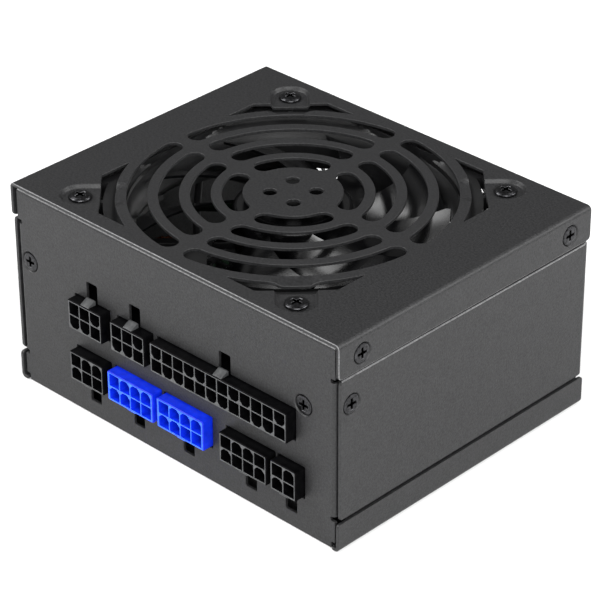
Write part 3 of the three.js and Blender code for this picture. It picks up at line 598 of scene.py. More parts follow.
def top_cover():
    base, reach = channel(HALF_W, COVER_FOLD, SHELL_BEND)
    spots = [(math.copysign(leg_u(HALF_W, SHELL_BEND, HEIGHT - z), x), y)
             for x, y, z in middles("cover_screw", 4)]

    def place(u, v, depth):
        x, y, z = base(u, v, depth + dimple_depth(u, v, spots) + pad_depth(u, v))
        return x, y, z + HEIGHT

    outline = rounded(rectangle(-reach, -HALF_D, reach, HALF_D), 1.5)
    hub_holes = [circle(FAN_X + sx * HUB_HOLE_OFFSET, sy * HUB_HOLE_OFFSET, HUB_HOLE, 28)
                 for sx in (-1, 1) for sy in (-1, 1)]
    holes = [slot_outline(i, q) for i in range(4) for q in range(4)]
    holes += [window_outline(sx, sy) for sx in (-1, 1) for sy in (-1, 1)]
    holes += hub_holes + dimple_holes(spots) + [circle(x, y, FAN_SCREW_HOLE, 24) for x, y in FAN_SPOTS]
    creases = bend_lines(HALF_W, SHELL_BEND, -HALF_D - 1, HALF_D + 1)
    creases += dimple_creases(spots) + pad_creases()
    # The cover's outer rims get the lighter coat: a painted highlight.
    return sheet_part("cover_sheet", [outline, *holes], place, creases, ["top_cover"], rim_highlight=1)


# ---- Bottom tray ----

TRAY_FOLD = TRAY_HIGH[2]
PANEL_FOOT_HALF = 59.7          # the socket panel reaches the underside over this half width
PANEL_FRONT = PANEL_LOW[1]
PANEL_BACK = PANEL_FRONT + SHEET


def bottom_tray():
    base, reach = channel(HALF_W, TRAY_FOLD, SHELL_BEND)
    spots = [(x, -y) for x, y, _ in middles("bottom_screw", 4)]

    def place(u, v, depth):
        x, y, z = base(u, v, depth + dimple_depth(u, v, spots))
        return x, -y, -z

    step_x, step_y = PANEL_FOOT_HALF + GAP, -(PANEL_BACK + 0.2)
    outline = [(-reach, -HALF_D), (reach, -HALF_D), (reach, HALF_D), (step_x, HALF_D), (step_x, step_y),
               (-step_x, step_y), (-step_x, HALF_D), (-reach, HALF_D)]
    outline = rounded(outline, [1.2, 1.2, 1.2, 0.4, 0.3, 0.3, 0.4, 1.2])
    creases = bend_lines(HALF_W, SHELL_BEND, -HALF_D - 1, HALF_D + 1) + dimple_creases(spots)
    return sheet_part("tray_sheet", [outline, *dimple_holes(spots)], place, creases, ["bottom_tray"])


# ---- Rear frame: the rear wall with its vent, and the two side walls ----

FRAME_BEND = 2.0
INNER_X = PANEL_HIGH[0]
SEAM_LOW = TRAY_FOLD + 2 * GAP
SEAM_HIGH = COVER_LOW[2] - GAP
JOG = 0.9
CELL_PITCH = 4.6
CELL_FLATS = 3.95
VENT_HALF_X = 54.0
VENT_LOW = 7.0
VENT_HIGH = 58.5
MOUNT_X = 56.5
MOUNT_LOW = 6.0
MOUNT_HIGH = 57.5
MOUNT_HOLE = 1.75
PLAIN_HOLE = 1.7                # clearance for a screw in a flange or a tab
INLET = middle("ac_inlet")
SWITCH = middle("switch_housing")
# Half width and half height of the holes for the two fittings, of the vent-free area round each,
# and how far in from each mounting hole the wall stays solid.
INLET_HOLE = (13.8, 10.0)
SWITCH_HOLE = (6.6, 9.8)
INLET_CLEAR = (18.4, 14.2)
SWITCH_CLEAR = (10.2, 13.2)
MOUNT_CLEAR = (7.4, 5.4)
SEAM_START = 55.0               # half the width of the rear wall between the jogs' creases


def near_fitting(x, z):
    """Where the rear wall stays solid: round the inlet, the switch and the mounting holes."""
    by_inlet = abs(x - INLET[0]) < INLET_CLEAR[0] and abs(z - INLET[2]) < INLET_CLEAR[1]
    by_switch = abs(x - SWITCH[0]) < SWITCH_CLEAR[0] and abs(z - SWITCH[2]) < SWITCH_CLEAR[1]
    corner = min(z - MOUNT_LOW, MOUNT_HIGH - z)
    by_corner = MOUNT_X - abs(x) < MOUNT_CLEAR[0] and corner < MOUNT_CLEAR[1]
    return by_inlet or by_switch or by_corner


def vent_cells():
    cells = []
    step = CELL_PITCH * math.sqrt(3) / 2
    columns = int((VENT_HALF_X - CELL_FLATS / 2) / step)
    for column in range(-columns, columns + 1):
        z = VENT_LOW + CELL_FLATS / 2 + (CELL_PITCH / 2 if column % 2 else 0)
        while z <= VENT_HIGH - CELL_FLATS / 2:
            if not near_fitting(column * step, z):
                cells.append(circle(column * step, z, CELL_FLATS / math.sqrt(3), 6))
            z += CELL_PITCH
    return cells


def fitting_hole(centre, half):
    """A fitting's hole on the rear wall's pattern, whose u runs against x."""
    return rectangle(-centre[0] - half[0], centre[2] - half[1], -centre[0] + half[0], centre[2] + half[1])


def rear_frame():
    depth_of_band = HALF_D - FRAME_LOW[1]
    base, reach = channel(HALF_W, depth_of_band, FRAME_BEND)
    strip_reach = reach - 3.4

    def side_spots(screws):
        """Where screws in the side walls lie on the pattern."""
        return [(-math.copysign(leg_u(HALF_W, FRAME_BEND, HALF_D - y), x), z) for x, y, z in screws]

    spots = side_spots(middles("side_screw", 2))
    step_in = HALF_W - INNER_X

    def place(u, v, depth):
        across, _, back = base(-u, v, depth + dimple_depth(u, v, spots))
        outside = np.maximum(SEAM_LOW + JOG - v, v - (SEAM_HIGH - JOG)) / JOG
        towards = smoothstep((np.abs(u) - (HALF_W - FRAME_BEND - 3)) / 3)
        x = across - np.sign(across) * step_in * smoothstep(outside) * towards
        return x, HALF_D + back, v

    low, high = FRAME_LOW[2], FRAME_HIGH[2]
    right = [(strip_reach, low), (strip_reach, SEAM_LOW), (reach, SEAM_LOW + 0.2),
             (reach, SEAM_HIGH - 0.2), (strip_reach, SEAM_HIGH), (strip_reach, high)]
    radii = [0.6, 0.6, 2.4, 2.4, 0.6, 0.6]
    outline = rounded(both_sides(right), radii + radii[::-1])
    mounts = [circle(sx * MOUNT_X, z, MOUNT_HOLE, 24) for sx in (-1, 1) for z in (MOUNT_LOW, MOUNT_HIGH)]
    fittings = [fitting_hole(INLET, INLET_HOLE), fitting_hole(SWITCH, SWITCH_HOLE)]
    cells = [mirrored(cell, -1, 1) for cell in vent_cells()]
    flange_screws = [circle(u, v, PLAIN_HOLE, 16) for u, v in side_spots(middles("cover_screw", 4))]
    creases = bend_lines(HALF_W, FRAME_BEND, low - 1, high + 1)
    for k in range(9):
        rise = JOG * k / 8
        for v in (SEAM_LOW + rise, SEAM_HIGH - rise):
            creases.append([(-reach - 1, v), (-SEAM_START, v)])
            creases.append([(SEAM_START, v), (reach + 1, v)])
    creases += dimple_creases(spots)
    holes = [*mounts, *fittings, *cells, *dimple_holes(spots), *flange_screws]
    # A thin strip along the upper jog of each side wall gets the lighter coat: a painted highlight just
    # under the cover's flange.
    seam_painted_highlight = lambda u, v: (np.abs(u) > HALF_W) & (np.abs(v - SEAM_HIGH + 0.7 * JOG) < 0.12 * JOG)
    return sheet_part("rear_frame_sheet", [outline, *holes], place, creases, ["rear_frame"], ease=0.12,
                      painted_highlight_at=seam_painted_highlight)


# ---- Cable sockets and their panel ----

PITCH = 4.2
CELL_HALF = 1.93
CELL_CUT = 1.05
CELL_EASE = 0.11
UPPER = "upper"
LOWER = "lower"
SOCKETS = {
    "peripheral_socket_1": (UPPER, ["ssd", "dds"]),
    "peripheral_socket_2": (UPPER, ["ssd", "dds"]),
    "board_socket": (UPPER, ["dssddssddssd", "sddssddssdds"]),
    "peripheral_socket_3": (LOWER, ["sdd", "dss"]),
    "graphics_socket_1": (LOWER, ["sddd", "ddss"]),
    "graphics_socket_2": (LOWER, ["sddd", "ddss"]),
    "processor_socket_8": (LOWER, ["sdds", "dssd"]),
    "processor_socket_4": (LOWER, ["sd", "ds"]),
}
BLUE = ("graphics_socket_1", "graphics_socket_2")
SOCKET_HALF_H = 4.8
SOCKET_SLIM = 0.15              # how much slimmer than its CAD node a block is, on each side
SOCKET_EASE = 0.3
CELL_FLOOR = -44.5
PIN_BACK, PIN_FRONT = -44.6, -50.6
PIN_HALF, PIN_TIP = 0.55, 0.25
NOTCH_TOP, NOTCH_FOOT = 43.3, 4.7
# Slot 2 is a lighter copy of the socket's nylon: a painted highlight on its front, cell mouths and catch.
BODY_SLOT, CONTACT_SLOT, HIGHLIGHT_SLOT = 0, 1, 2


def socket_centre(name):
    """Centre x, centre z and half width of a socket; its box also holds the latch's catch."""
    low, high = node_box(name)
    row = SOCKETS[name][0]
    z = low[2] + SOCKET_HALF_H if row == UPPER else high[2] - SOCKET_HALF_H
    return (low[0] + high[0]) / 2, z, (high[0] - low[0]) / 2


def socket_cutout(name):
    """The panel's opening for a socket, with the notch for the latch of its plug."""
    x, z, half = socket_centre(name)
    half += 0.2
    tall = SOCKET_HALF_H + 0.2
    notch = PITCH / 2
    limit = NOTCH_TOP - z if SOCKETS[name][0] == UPPER else z - NOTCH_FOOT
    points = both_sides([(half, -tall), (half, tall), (notch, tall), (notch, limit)])
    points = [points[-1], *points[:-1]]
    radii = [0.3, 0.3, 0.3, 0.3, 0.5, 0.5, 0.3, 0.3]
    side = 1 if SOCKETS[name][0] == UPPER else -1
    return moved(mirrored(rounded(points, radii, 3), 1, side), x, z)


def modular_panel():
    bend = 1.3
    high, wide = PANEL_HIGH[2], INNER_X - 0.5
    turn = bend * math.pi / 2
    fold_x, fold_high = wide - bend, high - bend
    tab_reach = fold_x + turn + (PANEL_HIGH[1] - PANEL_FRONT) - bend
    lip_high = fold_high + turn + 1.6 - bend
    tab_low, tab_high = 9.9, 51.2
    relief = 1.2
    notch_x = fold_x - 0.3
    _, tab_screw_y, tab_screw_z = middle("side_screw_2")
    tab_hole = fold_x + turn + (tab_screw_y - PANEL_FRONT) - bend
    spots = [(float(x), float(z)) for x, y, z in middles("panel_screw", 2)]

    def folded(distance, depth):
        """How far a fold carries a point: outwards in the plane and backwards, past the fold's start."""
        angle = np.clip(distance / bend, 0, math.pi / 2)
        past = np.maximum(distance - turn, 0)
        return (bend - depth) * np.sin(angle), bend - (bend - depth) * np.cos(angle) + past

    def place(u, v, depth):
        depth = depth + dimple_depth(u, v, spots)
        on_tab = (v > tab_low - relief / 2) & (v < tab_high + relief / 2)
        out_x, back_x = folded(np.where(on_tab, np.abs(u) - fold_x, -1.0), depth)
        out_high, back_high = folded(v - fold_high, depth)
        x = np.sign(u) * np.where(on_tab & (np.abs(u) > fold_x), fold_x + out_x, np.abs(u))
        z = np.where(v > fold_high, fold_high + out_high, v)
        return x, PANEL_FRONT + np.maximum(back_x, back_high), z

    foot_x, foot_low = PANEL_FOOT_HALF - 0.3, 2.0
    right = [(foot_x, 0), (foot_x, foot_low), (wide, foot_low), (wide, tab_low - relief),
             (notch_x, tab_low - relief), (notch_x, tab_low), (tab_reach, tab_low), (tab_reach, tab_high),
             (notch_x, tab_high), (notch_x, tab_high + relief), (wide, tab_high + relief), (wide, lip_high)]
    outline = rounded(both_sides(right), 0.28, 3)
    holes = [socket_cutout(name) for name in SOCKETS] + dimple_holes(spots)
    holes += [circle(side * tab_hole, tab_screw_z, PLAIN_HOLE, 16) for side in (-1, 1)]
    creases = dimple_creases(spots)
    for k in range(7):
        part = turn * k / 6
        for side in (-1, 1):
            u = side * (fold_x + part)
            creases.append([(u, tab_low - 0.2), (u, tab_high + 0.2)])
        creases.append([(-wide - 0.2, fold_high + part), (wide + 0.2, fold_high + part)])
    ledge = Shell()
    screw_holes = [circle(x, y, 1.6, 16) for x, y, _ in middles("bottom_screw", 2)]
    add_slab(ledge, rectangle(-wide + 2, PANEL_BACK, wide - 2, PANEL_HIGH[1]), screw_holes,
             SHEET + GAP, 2 * SHEET + GAP)
    # The upper part of the top fold gets the lighter coat: a painted highlight along the panel's top edge.
    return sheet_part("panel_sheet", [outline, *holes], place, creases, ["modular_panel"], extra=ledge,
                      painted_highlight_at=lambda u, v: v > fold_high + 0.3 * turn)


def add_slab(shell, outline, holes, low, high):
    """A flat plate with holes, between two heights."""
    loops = [outline, *[wound(hole, clockwise=True) for hole in holes]]
    lower = [shell.ring([(x, y, low) for x, y in loop]) for loop in loops]
    upper = [shell.ring([(x, y, high) for x, y in loop]) for loop in loops]
    for first, second in zip(lower, upper):
        shell.strip(first, second)
    shell.plate(upper[0], upper[1:], from_above)
    shell.plate(lower[0], lower[1:], from_above, flip=True)


def cell_outline(key, chamfer_side, grow=0.0):
    """One contact cell; a d cell has its two upper (or lower) corners cut off."""
    half = CELL_HALF + grow
    square = rectangle(-half, -half, half, half)
    if key == "s":
        return rounded(square, 0.2 + grow, 2)
    cut = CELL_CUT + 0.4 * grow
    points = [(-half, -half), (half, -half), (half, half - cut), (half - cut, half),
              (cut - half, half), (-half, half - cut)]
    radii = [0.2] * 2 + [0.7 + grow] * 4
    return mirrored(rounded(points, radii, 3), 1, chamfer_side)


def ways(name):
    """Each way of a socket: the key of its cell and the cell's centre."""
    x, z, _ = socket_centre(name)
    for line, keys in enumerate(SOCKETS[name][1]):
        for column, key in enumerate(keys):
            cx = x + (column - (len(keys) - 1) / 2) * PITCH
            cz = z + (PITCH / 2 if line == 0 else -PITCH / 2)
            yield key, cx, cz


def add_block(shell, name, front, back):
    """A socket's outer walls, rounded into its front, and its back; gives the front's ring."""
    x, z, half = socket_centre(name)
    tall = SOCKET_HALF_H
    block = rectangle(x - half + SOCKET_SLIM, z - tall + SOCKET_SLIM,
                      x + half - SOCKET_SLIM, z + tall - SOCKET_SLIM)
    rings = []
    for angle in (0, 30, 60, 90):
        inset = SOCKET_EASE * (1 - math.sin(math.radians(angle)))
        y = front + SOCKET_EASE * (1 - math.cos(math.radians(angle)))
        inner = [(px + math.copysign(inset, x - px), pz + math.copysign(inset, z - pz)) for px, pz in block]
        rings.append(shell.ring([(px, y, pz) for px, pz in rounded(inner, 0.5 - inset, 3)]))
    rings.append(shell.ring([(px, back, pz) for px, pz in rounded(block, 0.5, 3)]))
    shell.strips(rings)
    shell.face(rings[-1])
    return rings[0]


def add_cell(shell, key, cx, cz, chamfer_side, front):
    """A blind cell with a rounded mouth; gives the mouth's ring."""
    def ring(grow, y):
        outline = wound(moved(cell_outline(key, chamfer_side, grow), cx, cz), clockwise=True)
        return shell.ring([(px, y, pz) for px, pz in outline])

    mouth = []
    for angle in (90, 60, 30, 0):
        grow = CELL_EASE * (1 - math.cos(math.radians(angle)))
        mouth.append(ring(grow, front + CELL_EASE * (1 - math.sin(math.radians(angle)))))
    floor = ring(0.0, CELL_FLOOR)
    # The mouth's round gets the lighter nylon: a painted highlight.
    shell.slot = HIGHLIGHT_SLOT
    shell.strips(mouth)
    shell.slot = BODY_SLOT
    shell.strip(mouth[-1], floor)
    shell.face(floor)
    return mouth[0]


def cable_socket(name):
    """A socket block with a blind cell and a contact pin for each way, and the latch's catch."""
    upper = SOCKETS[name][0] == UPPER
    x, z, _ = socket_centre(name)
    low, high = node_box(name)
    front = low[1]
    shell = Shell()
    rim = add_block(shell, name, front, high[1])
    mouths = [add_cell(shell, key, cx, cz, -1 if upper else 1, front) for key, cx, cz in ways(name)]
    # The front face and the catch get the lighter nylon: a painted highlight.
    shell.slot = HIGHLIGHT_SLOT
    shell.plate(rim, mouths, from_behind)
    add_catch(shell, x, z, 1 if upper else -1, front)
    shell.slot = CONTACT_SLOT
    for _, cx, cz in ways(name):
        add_pin(shell, cx, cz)
    blue = name in BLUE
    body, face = (SOCKET_BLUE, SOCKET_BLUE_PAINTED_HIGHLIGHT) if blue else (SOCKET_BLACK, SOCKET_BLACK_PAINTED_HIGHLIGHT)
    return as_object(shell, f"{name}_housing", [body, CONTACT_METAL, face], smooth=40, replaces=[name])


def add_pin(shell, x, z):
    """A square contact pin with a tapered tip."""
    body = rectangle(x - PIN_HALF, z - PIN_HALF, x + PIN_HALF, z + PIN_HALF)
    tip = rectangle(x - PIN_TIP, z - PIN_TIP, x + PIN_TIP, z + PIN_TIP)
    stops = ((tip, PIN_FRONT), (body, PIN_FRONT + 0.9), (body, PIN_BACK))
    shell.loft([[(px, y, pz) for px, pz in outline] for outline, y in stops])


def add_catch(shell, x, z, out, front):
    """The ramp that the plug's latch hooks over, with its upper edge eased."""
    half = 1.6
    foot = z + out * (SOCKET_HALF_H - 0.2)
    crest = z + out * (SOCKET_HALF_H + 1.3)
    ramp_foot = z + out * (SOCKET_HALF_H + 0.15)
    profile = [(front + 0.25, foot), (front + 0.3, ramp_foot), (PANEL_FRONT - 0.95, crest - out * 0.1),
               (PANEL_FRONT - 0.7, crest), (PANEL_FRONT - 0.35, crest),
               (PANEL_FRONT - 0.2, crest - out * 0.15), (PANEL_FRONT - 0.2, foot)]
    sides = (-half, -half + 0.15, half - 0.15, half)
    inset = (0.12, 0, 0, 0.12)
    rings = [[(x + dx, y, pz - out * shrink if abs(pz - foot) > 0.1 else pz) for y, pz in profile]
             for dx, shrink in zip(sides, inset)]
    if out < 0:
        rings = rings[::-1]
    shell.loft(rings)


# ---- Screws ----

CROSS_REACH = 1.75
CROSS_WIDTH = 0.46
CROSS_DEPTH = 0.85


def cross_outline(reach, width, cx=0.0, cy=0.0):
    """A cross of four equal arms, each a quarter turn on from the last."""
    arm = [(width, width), (reach, width), (reach, -width)]
    points = []
    for _ in range(4):
        points += arm
        arm = [(y, -x) for x, y in arm]
    return moved(points[::-1], cx, cy)


def add_driver_cross(shell, rim, height):
    """Fills a screw head's face inside the ring rim and sinks a tapered cross into it."""
    steps = [(CROSS_REACH, CROSS_WIDTH, 0.0), (CROSS_REACH - 0.08, CROSS_WIDTH - 0.06, 0.08),
             (CROSS_REACH * 0.45, CROSS_WIDTH * 0.7, CROSS_DEPTH)]
    rings = []
    for reach, width, depth in steps:
        outline = wound(cross_outline(reach, width), clockwise=True)
        rings.append(shell.ring([(x, y, height - depth) for x, y in outline]))
    shell.plate(rim, [rings[0]], from_above)
    shell.strip(rings[0], rings[1])
    # The cross's deeper walls and floor get a near-black copy of the steel: painted shade in the recess.
    shell.slot = 1
    shell.strip(rings[1], rings[2])
    shell.face(rings[-1])


def screw_shell(profile, steps, face):
    """A screw along Z, turned from its tip up to its face, with the driver's cross."""
    shell = Shell()
    rings = [shell.ring(ring_at(radius, z, steps)) for radius, z in profile]
    shell.face(rings[0][::-1])
    shell.strips(rings)
    add_driver_cross(shell, rings[-1], face)
    return shell


def screw_object(shell, name):
    return as_object(shell, f"{name}_body", [SCREW_STEEL, SCREW_RECESS_SHADE], smooth=32, replaces=[name])


def countersunk_screw(name, basis):
    """A small countersunk machine screw, its face just below the sheet it holds."""
    low, high = node_box(name)
    way = np.array(basis[2], float)
    length = float(np.abs((high - low) @ np.abs(way)))
    face = -0.12
    dome = [(2.78, face - 0.22), (2.74, face - 0.1), (2.6, face - 0.02), (2.4, face + 0.02),
            (2.1, face + 0.04)]
    profile = [(1.25, -length), (1.3, -length + 0.2), (1.3, -1.3), (2.72, -0.42), *dome]
    shell = screw_shell(profile, 40, face + 0.05)
    mid = (low + high) / 2
    face_at = np.where(way > 0, high, np.where(way < 0, low, mid)) + way * 0.15
    return screw_object(placed(shell, basis, face_at), name)


def pan_screw(name):
    """A thread-forming fan screw with a broad, low domed head."""
    low, high = node_box(name)
    x, y, _ = middle(name)
    top, under = high[2], high[2] - 1.1
    shank = [(1.9, low[2]), (2.0, low[2] + 0.3), (2.0, under)]
    head = [(3.2, under), (3.3, under + 0.15), (3.28, under + 0.45), (3.1, under + 0.72),
            (2.75, under + 0.9), (2.4, under + 1.0), (2.1, under + 1.04)]
    shell = screw_shell([*shank, *head], 44, top - 0.02)
    shell.shift(x, y)
    return screw_object(shell, name)


def screws():
    for i in range(1, 5):
        side = TO_LEFT if middle(f"cover_screw_{i}")[0] < 0 else TO_RIGHT
        countersunk_screw(f"cover_screw_{i}", side)
        countersunk_screw(f"bottom_screw_{i}", TO_FLOOR)
        pan_screw(f"fan_screw_{i}")
    for i, side in ((1, TO_LEFT), (2, TO_RIGHT)):
        countersunk_screw(f"side_screw_{i}", side)
        countersunk_screw(f"panel_screw_{i}", TO_FRONT)


# ---- Fan ----

FAN_TOP = FAN_HIGH[2]
FAN_BOTTOM = FAN_LOW[2]
FAN_HALF = 46.0
FAN_BORE = 44.4
FLANGE = 3.4
FLARE_RIM = 51.8
FLARE_DEPTH = 7.5
OUTLET_DEPTH = 5.0
CORNERS = [(1, 1), (-1, 1), (-1, -1), (1, -1)]


def flare_radius(angle, rise):
    """The mouth's radius, from the bore (rise 0) to its rim (rise 1), cut flat at the frame's sides."""
    swing = (angle + math.pi / 4) % (math.pi / 2) - math.pi / 4
    bell = FAN_BORE + (FLARE_RIM - FAN_BORE) * (1 - math.sqrt(max(0.0, 1 - rise * rise)))
    return min(bell, (FAN_HALF - 0.45) / math.cos(swing))


def fan_duct(shell):
    """The duct's inner face from the bell mouth to the flared outlet, and its outer wall."""
    steps = 240
    angles = [2 * math.pi * i / steps for i in range(steps)]
    rises = [1.0, 0.995, 0.98, 0.94, 0.88, 0.8, 0.7, 0.58, 0.44, 0.28, 0.1, 0.0]
    rings = []
    heights = [(FAN_TOP - FLARE_DEPTH * (1 - rise), rise) for rise in rises]
    heights += [(FAN_BOTTOM + OUTLET_DEPTH * (1 - rise), rise) for rise in rises[::-1]]
    for z, rise in heights:
        radii = [flare_radius(a, rise) for a in angles]
        ring = [(radius * math.cos(a), radius * math.sin(a), z) for radius, a in zip(radii, angles)]
        rings.append(shell.ring(ring[::-1]))
    for upper, lower in zip(rings, rings[1:]):
        shell.strip(lower, upper)
    outer = [shell.ring(ring_at(FAN_HALF, z, steps)) for z in (FAN_BOTTOM, FAN_TOP - 1.5)]
    shell.strip(*outer)
    return rings[0][::-1], rings[-1]


def fan_square(z, shell):
    outline = rounded(rectangle(-FAN_HALF, -FAN_HALF, FAN_HALF, FAN_HALF), 4.5, 8)
    return shell.ring([(x, y, z) for x, y in outline])


def corner_slots(sx, sy):
    """Two curved gaps between the bell mouth's rim and the corner post, with a web between them."""
    diagonal = math.atan2(sy, sx)
    slots = []
    for way in (-1, 1):
        start, end = way * 0.014, way * 0.2
        outline = arc(0, 0, 53.7, diagonal + start, diagonal + end, 10)
        outline += arc(0, 0, 52.2, diagonal + end, diagonal + start, 10)
        slots.append(outline)
    return slots


def flange_plate(shell, high, low, inner_high, inner_low, slots):
    """One square flange: its two faces, its rim, its corner holes and any slots.

    The inner rings exist already.
    """
    top, bottom = fan_square(high, shell), fan_square(low, shell)
    shell.strip(bottom, top)
    upper, lower = [], []
    cuts = [circle(sx * FAN_SCREW, sy * FAN_SCREW, 2.3, 24) for sx, sy in CORNERS]
    if slots:
        cuts += [slot for corner in CORNERS for slot in corner_slots(*corner)]
    for outline in cuts:
        outline = wound(outline, clockwise=True)
        rings = [shell.ring([(x, y, z) for x, y in outline]) for z in (high, low)]
        shell.strip(rings[1], rings[0])
        upper.append(rings[0])
        lower.append(rings[1])
    shell.plate(top, [inner_high, *upper], from_above)
    shell.plate(bottom, [inner_low, *lower], from_above, flip=True)


def fan_frame():
    shell = Shell()
    mouth, foot = fan_duct(shell)
    hidden_high = shell.ring(ring_at(FAN_HALF - 0.2, FAN_TOP - FLANGE, 120))
    hidden_low = shell.ring(ring_at(FAN_HALF - 0.2, FAN_BOTTOM + FLANGE, 120))
    flange_plate(shell, FAN_TOP, FAN_TOP - FLANGE, mouth, hidden_high, slots=True)
    flange_plate(shell, FAN_BOTTOM + FLANGE, FAN_BOTTOM, hidden_low, foot, slots=False)
    for sx, sy in CORNERS:
        post = [ring_at(3.8, z, 28, sx * FAN_SCREW, sy * FAN_SCREW) for z in (FAN_BOTTOM + 3, FAN_TOP - 3)]
        shell.loft(post)
    base = [(16.0, 0), (16.4, 0.4), (16.4, 1.5), (4.6, 1.7)]
    turned(shell, [(radius, FAN_BOTTOM + z) for radius, z in base], 48)
    tube = [(3.25, 1.7), (4.6, 1.7), (4.6, 10), (4.2, 10.3), (3.25, 10.3)]
    rings = shell.loft([ring_at(radius, FAN_BOTTOM + z, 32) for radius, z in tube], False, False)
    shell.strip(rings[-1], rings[0])
    for turn in range(4):
        angle = (turn + 0.5) * math.pi / 2
        profile = rounded(rectangle(-1.5, FAN_BOTTOM, 1.5, FAN_BOTTOM + 2.4), 0.5, 2)
        c, s = math.cos(angle), math.sin(angle)
        rings = [[(r * c - v * s, r * s + v * c, z) for v, z in profile] for r in (14.0, FLARE_RIM + 0.5)]
        shell.loft(rings)
    shell.shift(FAN_X, 0)
    return as_object(shell, "fan_housing", [FAN_PLASTIC], bevel=0.2, smooth=24, replaces=["fan_frame"])


ROTOR_LOW, ROTOR_HIGH = node_box("fan_rotor")
HUB_RADIUS = 16.8
BLADES = 9
BLADE_ROOT = HUB_RADIUS - 0.4
BLADE_TIP = (ROTOR_HIGH[0] - ROTOR_LOW[0]) / 2
BLADE_TOP = FAN_TOP - 1.7
BLADE_DROP = 9.6
BLADE_CHORD = math.radians(34.5)
BLADE_LEAD = math.radians(11.5)
BLADE_SWEEP = math.radians(1.15)
BLADE_THICK = 1.1


def blade_point(span, chord, down):
    """A point on a blade. span runs from root to tip, chord from the upper edge to the lower one,
    and down from the upper face to the lower one."""
    radius = BLADE_ROOT + span * (BLADE_TIP - BLADE_ROOT)
    lean = BLADE_SWEEP * (radius - HUB_RADIUS + 0.8)
    angle = BLADE_LEAD + lean - chord * BLADE_CHORD
    curved = chord - 0.25 * math.sin(math.pi * chord) * chord
    crown = 0.5 * math.sin(math.pi * min(span, 1.0)) * math.sin(math.pi * chord)
    thickness = BLADE_THICK * (0.35 + 0.65 * math.sin(math.pi * (0.08 + 0.84 * chord)) ** 0.5)
    z = BLADE_TOP - BLADE_DROP * curved - 0.4 + 0.4 * crown - down * thickness
    return radius * math.cos(angle), radius * math.sin(angle), z


def add_blade(shell, turn):
    """A blade as a loft of closed sections from root to tip, each with rounded edges."""
    chords = [0.5 - 0.5 * math.cos(math.pi * k / 18) for k in range(19)]
    c, s = math.cos(turn), math.sin(turn)
    rings = []
    spans = [0.0, 0.08, 0.2, 0.34, 0.48, 0.62, 0.76, 0.88, 0.95, 0.985, 1.0]
    for span in spans:
        shrink = 0.0 if span < 0.95 else 0.03 * (span - 0.95) / 0.05
        over = [blade_point(span, shrink + (1 - 2 * shrink) * k, 0.0) for k in chords]
        under = [blade_point(span, shrink + (1 - 2 * shrink) * k, 1.0) for k in chords[1:-1]]
        section = over + under[::-1]
        rings.append([(x * c - y * s + FAN_X, x * s + y * c, z) for x, y, z in section])
    shell.loft(rings, cap_start=False)


def fan_rotor():
    """The hub, a cup with a boss for the shaft under its roof, and the blades round it."""
    shell = Shell()
    top, low = ROTOR_HIGH[2], FAN_BOTTOM + 2.5
    inner, ceiling = HUB_RADIUS - 1.6, top - 1.8
    boss = [(1.65, top - 1.2), (1.65, top - 3.3), (4.0, top - 3.3), (4.0, ceiling)]
    shoulder = arc(HUB_RADIUS - 1.9, top - 1.9, 1.9, 0, math.pi / 2, 10)
    roof = [(13.6, top), (13.3, top - 0.06), (12.9, top - 0.28), (12.5, top - 0.32), (2.0, top - 0.32)]
    profile = [*boss, (inner, ceiling), (inner, low), (HUB_RADIUS - 0.2, low), (HUB_RADIUS, low + 0.2),
               *shoulder, *roof]
    turned(shell, profile, 96, FAN_X, 0)
    for i in range(BLADES):
        add_blade(shell, 2 * math.pi * i / BLADES)
    return as_object(shell, "fan_wheel_moulding", [FAN_GLOSS], smooth=48, body="fan_wheel",
                     replaces=["fan_rotor"])


# ---- Mains inlet and rocker switch ----

REAR_FACE = 50.0


def rear_rings(shell, outline_at, stops):
    """Rings of one outline, given as (grow, y) pairs, on the rear face."""
    return [shell.ring([(x, y, z) for x, z in outline_at(grow)]) for grow, y in stops]


def flange_and_pocket(shell, flange_at, mouth_at, face, floor):
    """A moulded flange with rounded edges, standing on the rear wall, and the pocket through it."""
    edge = [(0, REAR_FACE + 0.15), (0, face - 0.45), (-0.13, face - 0.13), (-0.45, face)]
    flange = rear_rings(shell, flange_at, edge)
    for lower, upper in zip(flange, flange[1:]):
        shell.strip(upper, lower)
    mouth = rear_rings(shell, mouth_at, [(0.35, face), (0.1, face - 0.1), (0, face - 0.35), (0, floor)])
    for lower, upper in zip(mouth, mouth[1:]):
        shell.strip(upper, lower)
    shell.face(mouth[-1][::-1])
    shell.plate(flange[-1], [mouth[0]], from_behind, flip=True)


def add_fitting_body(shell, outline, inner_y):
    """The solid body behind a fitting's flange.

    Both of its ends are closed, and the outer one lies across the pocket, just behind its mouth.
    That is a known fault: the pocket should be open down to its floor.
    """
    rings = [[(x, y, z) for x, z in outline][::-1] for y in (inner_y, REAR_FACE + 0.3)]
    shell.loft(rings)


def fitting_outline(centre, half_x, half_z, radius, steps):
    """A rounded rectangle on the rear wall, as a function of how far it is grown."""
    def grown(grow):
        corners = rectangle(-half_x - grow, -half_z - grow, half_x + grow, half_z + grow)
        return moved(rounded(corners, radius + grow, steps), centre[0], centre[2])

    return grown


def mouth_outline(half_x, half_z, cut, grow):
    """The inlet's mouth: a rectangle whose two upper corners are cut off."""
    hx, hz = half_x + grow, half_z + grow
    points = [(-hx, -hz), (hx, -hz), (hx, hz - cut), (hx - cut, hz), (cut - hx, hz), (-hx, hz - cut)]
    return moved(rounded(points, 0.6 + grow, 4), INLET[0], INLET[2])


def ac_inlet():
    face = node_box("ac_inlet")[1][1]
    shell = Shell()
    flange_at = fitting_outline(INLET, 15.5, 11.75, 2.5, 6)
    flange_and_pocket(shell, flange_at, lambda grow: mouth_outline(12.2, 8.2, 3.8, grow), face, 35.5)
    add_fitting_body(shell, mouth_outline(13.5, 9.7, 4.2, 0), 30.0)
    return as_object(shell, "inlet_housing", [NYLON_BLACK], smooth=35, replaces=["ac_inlet"])


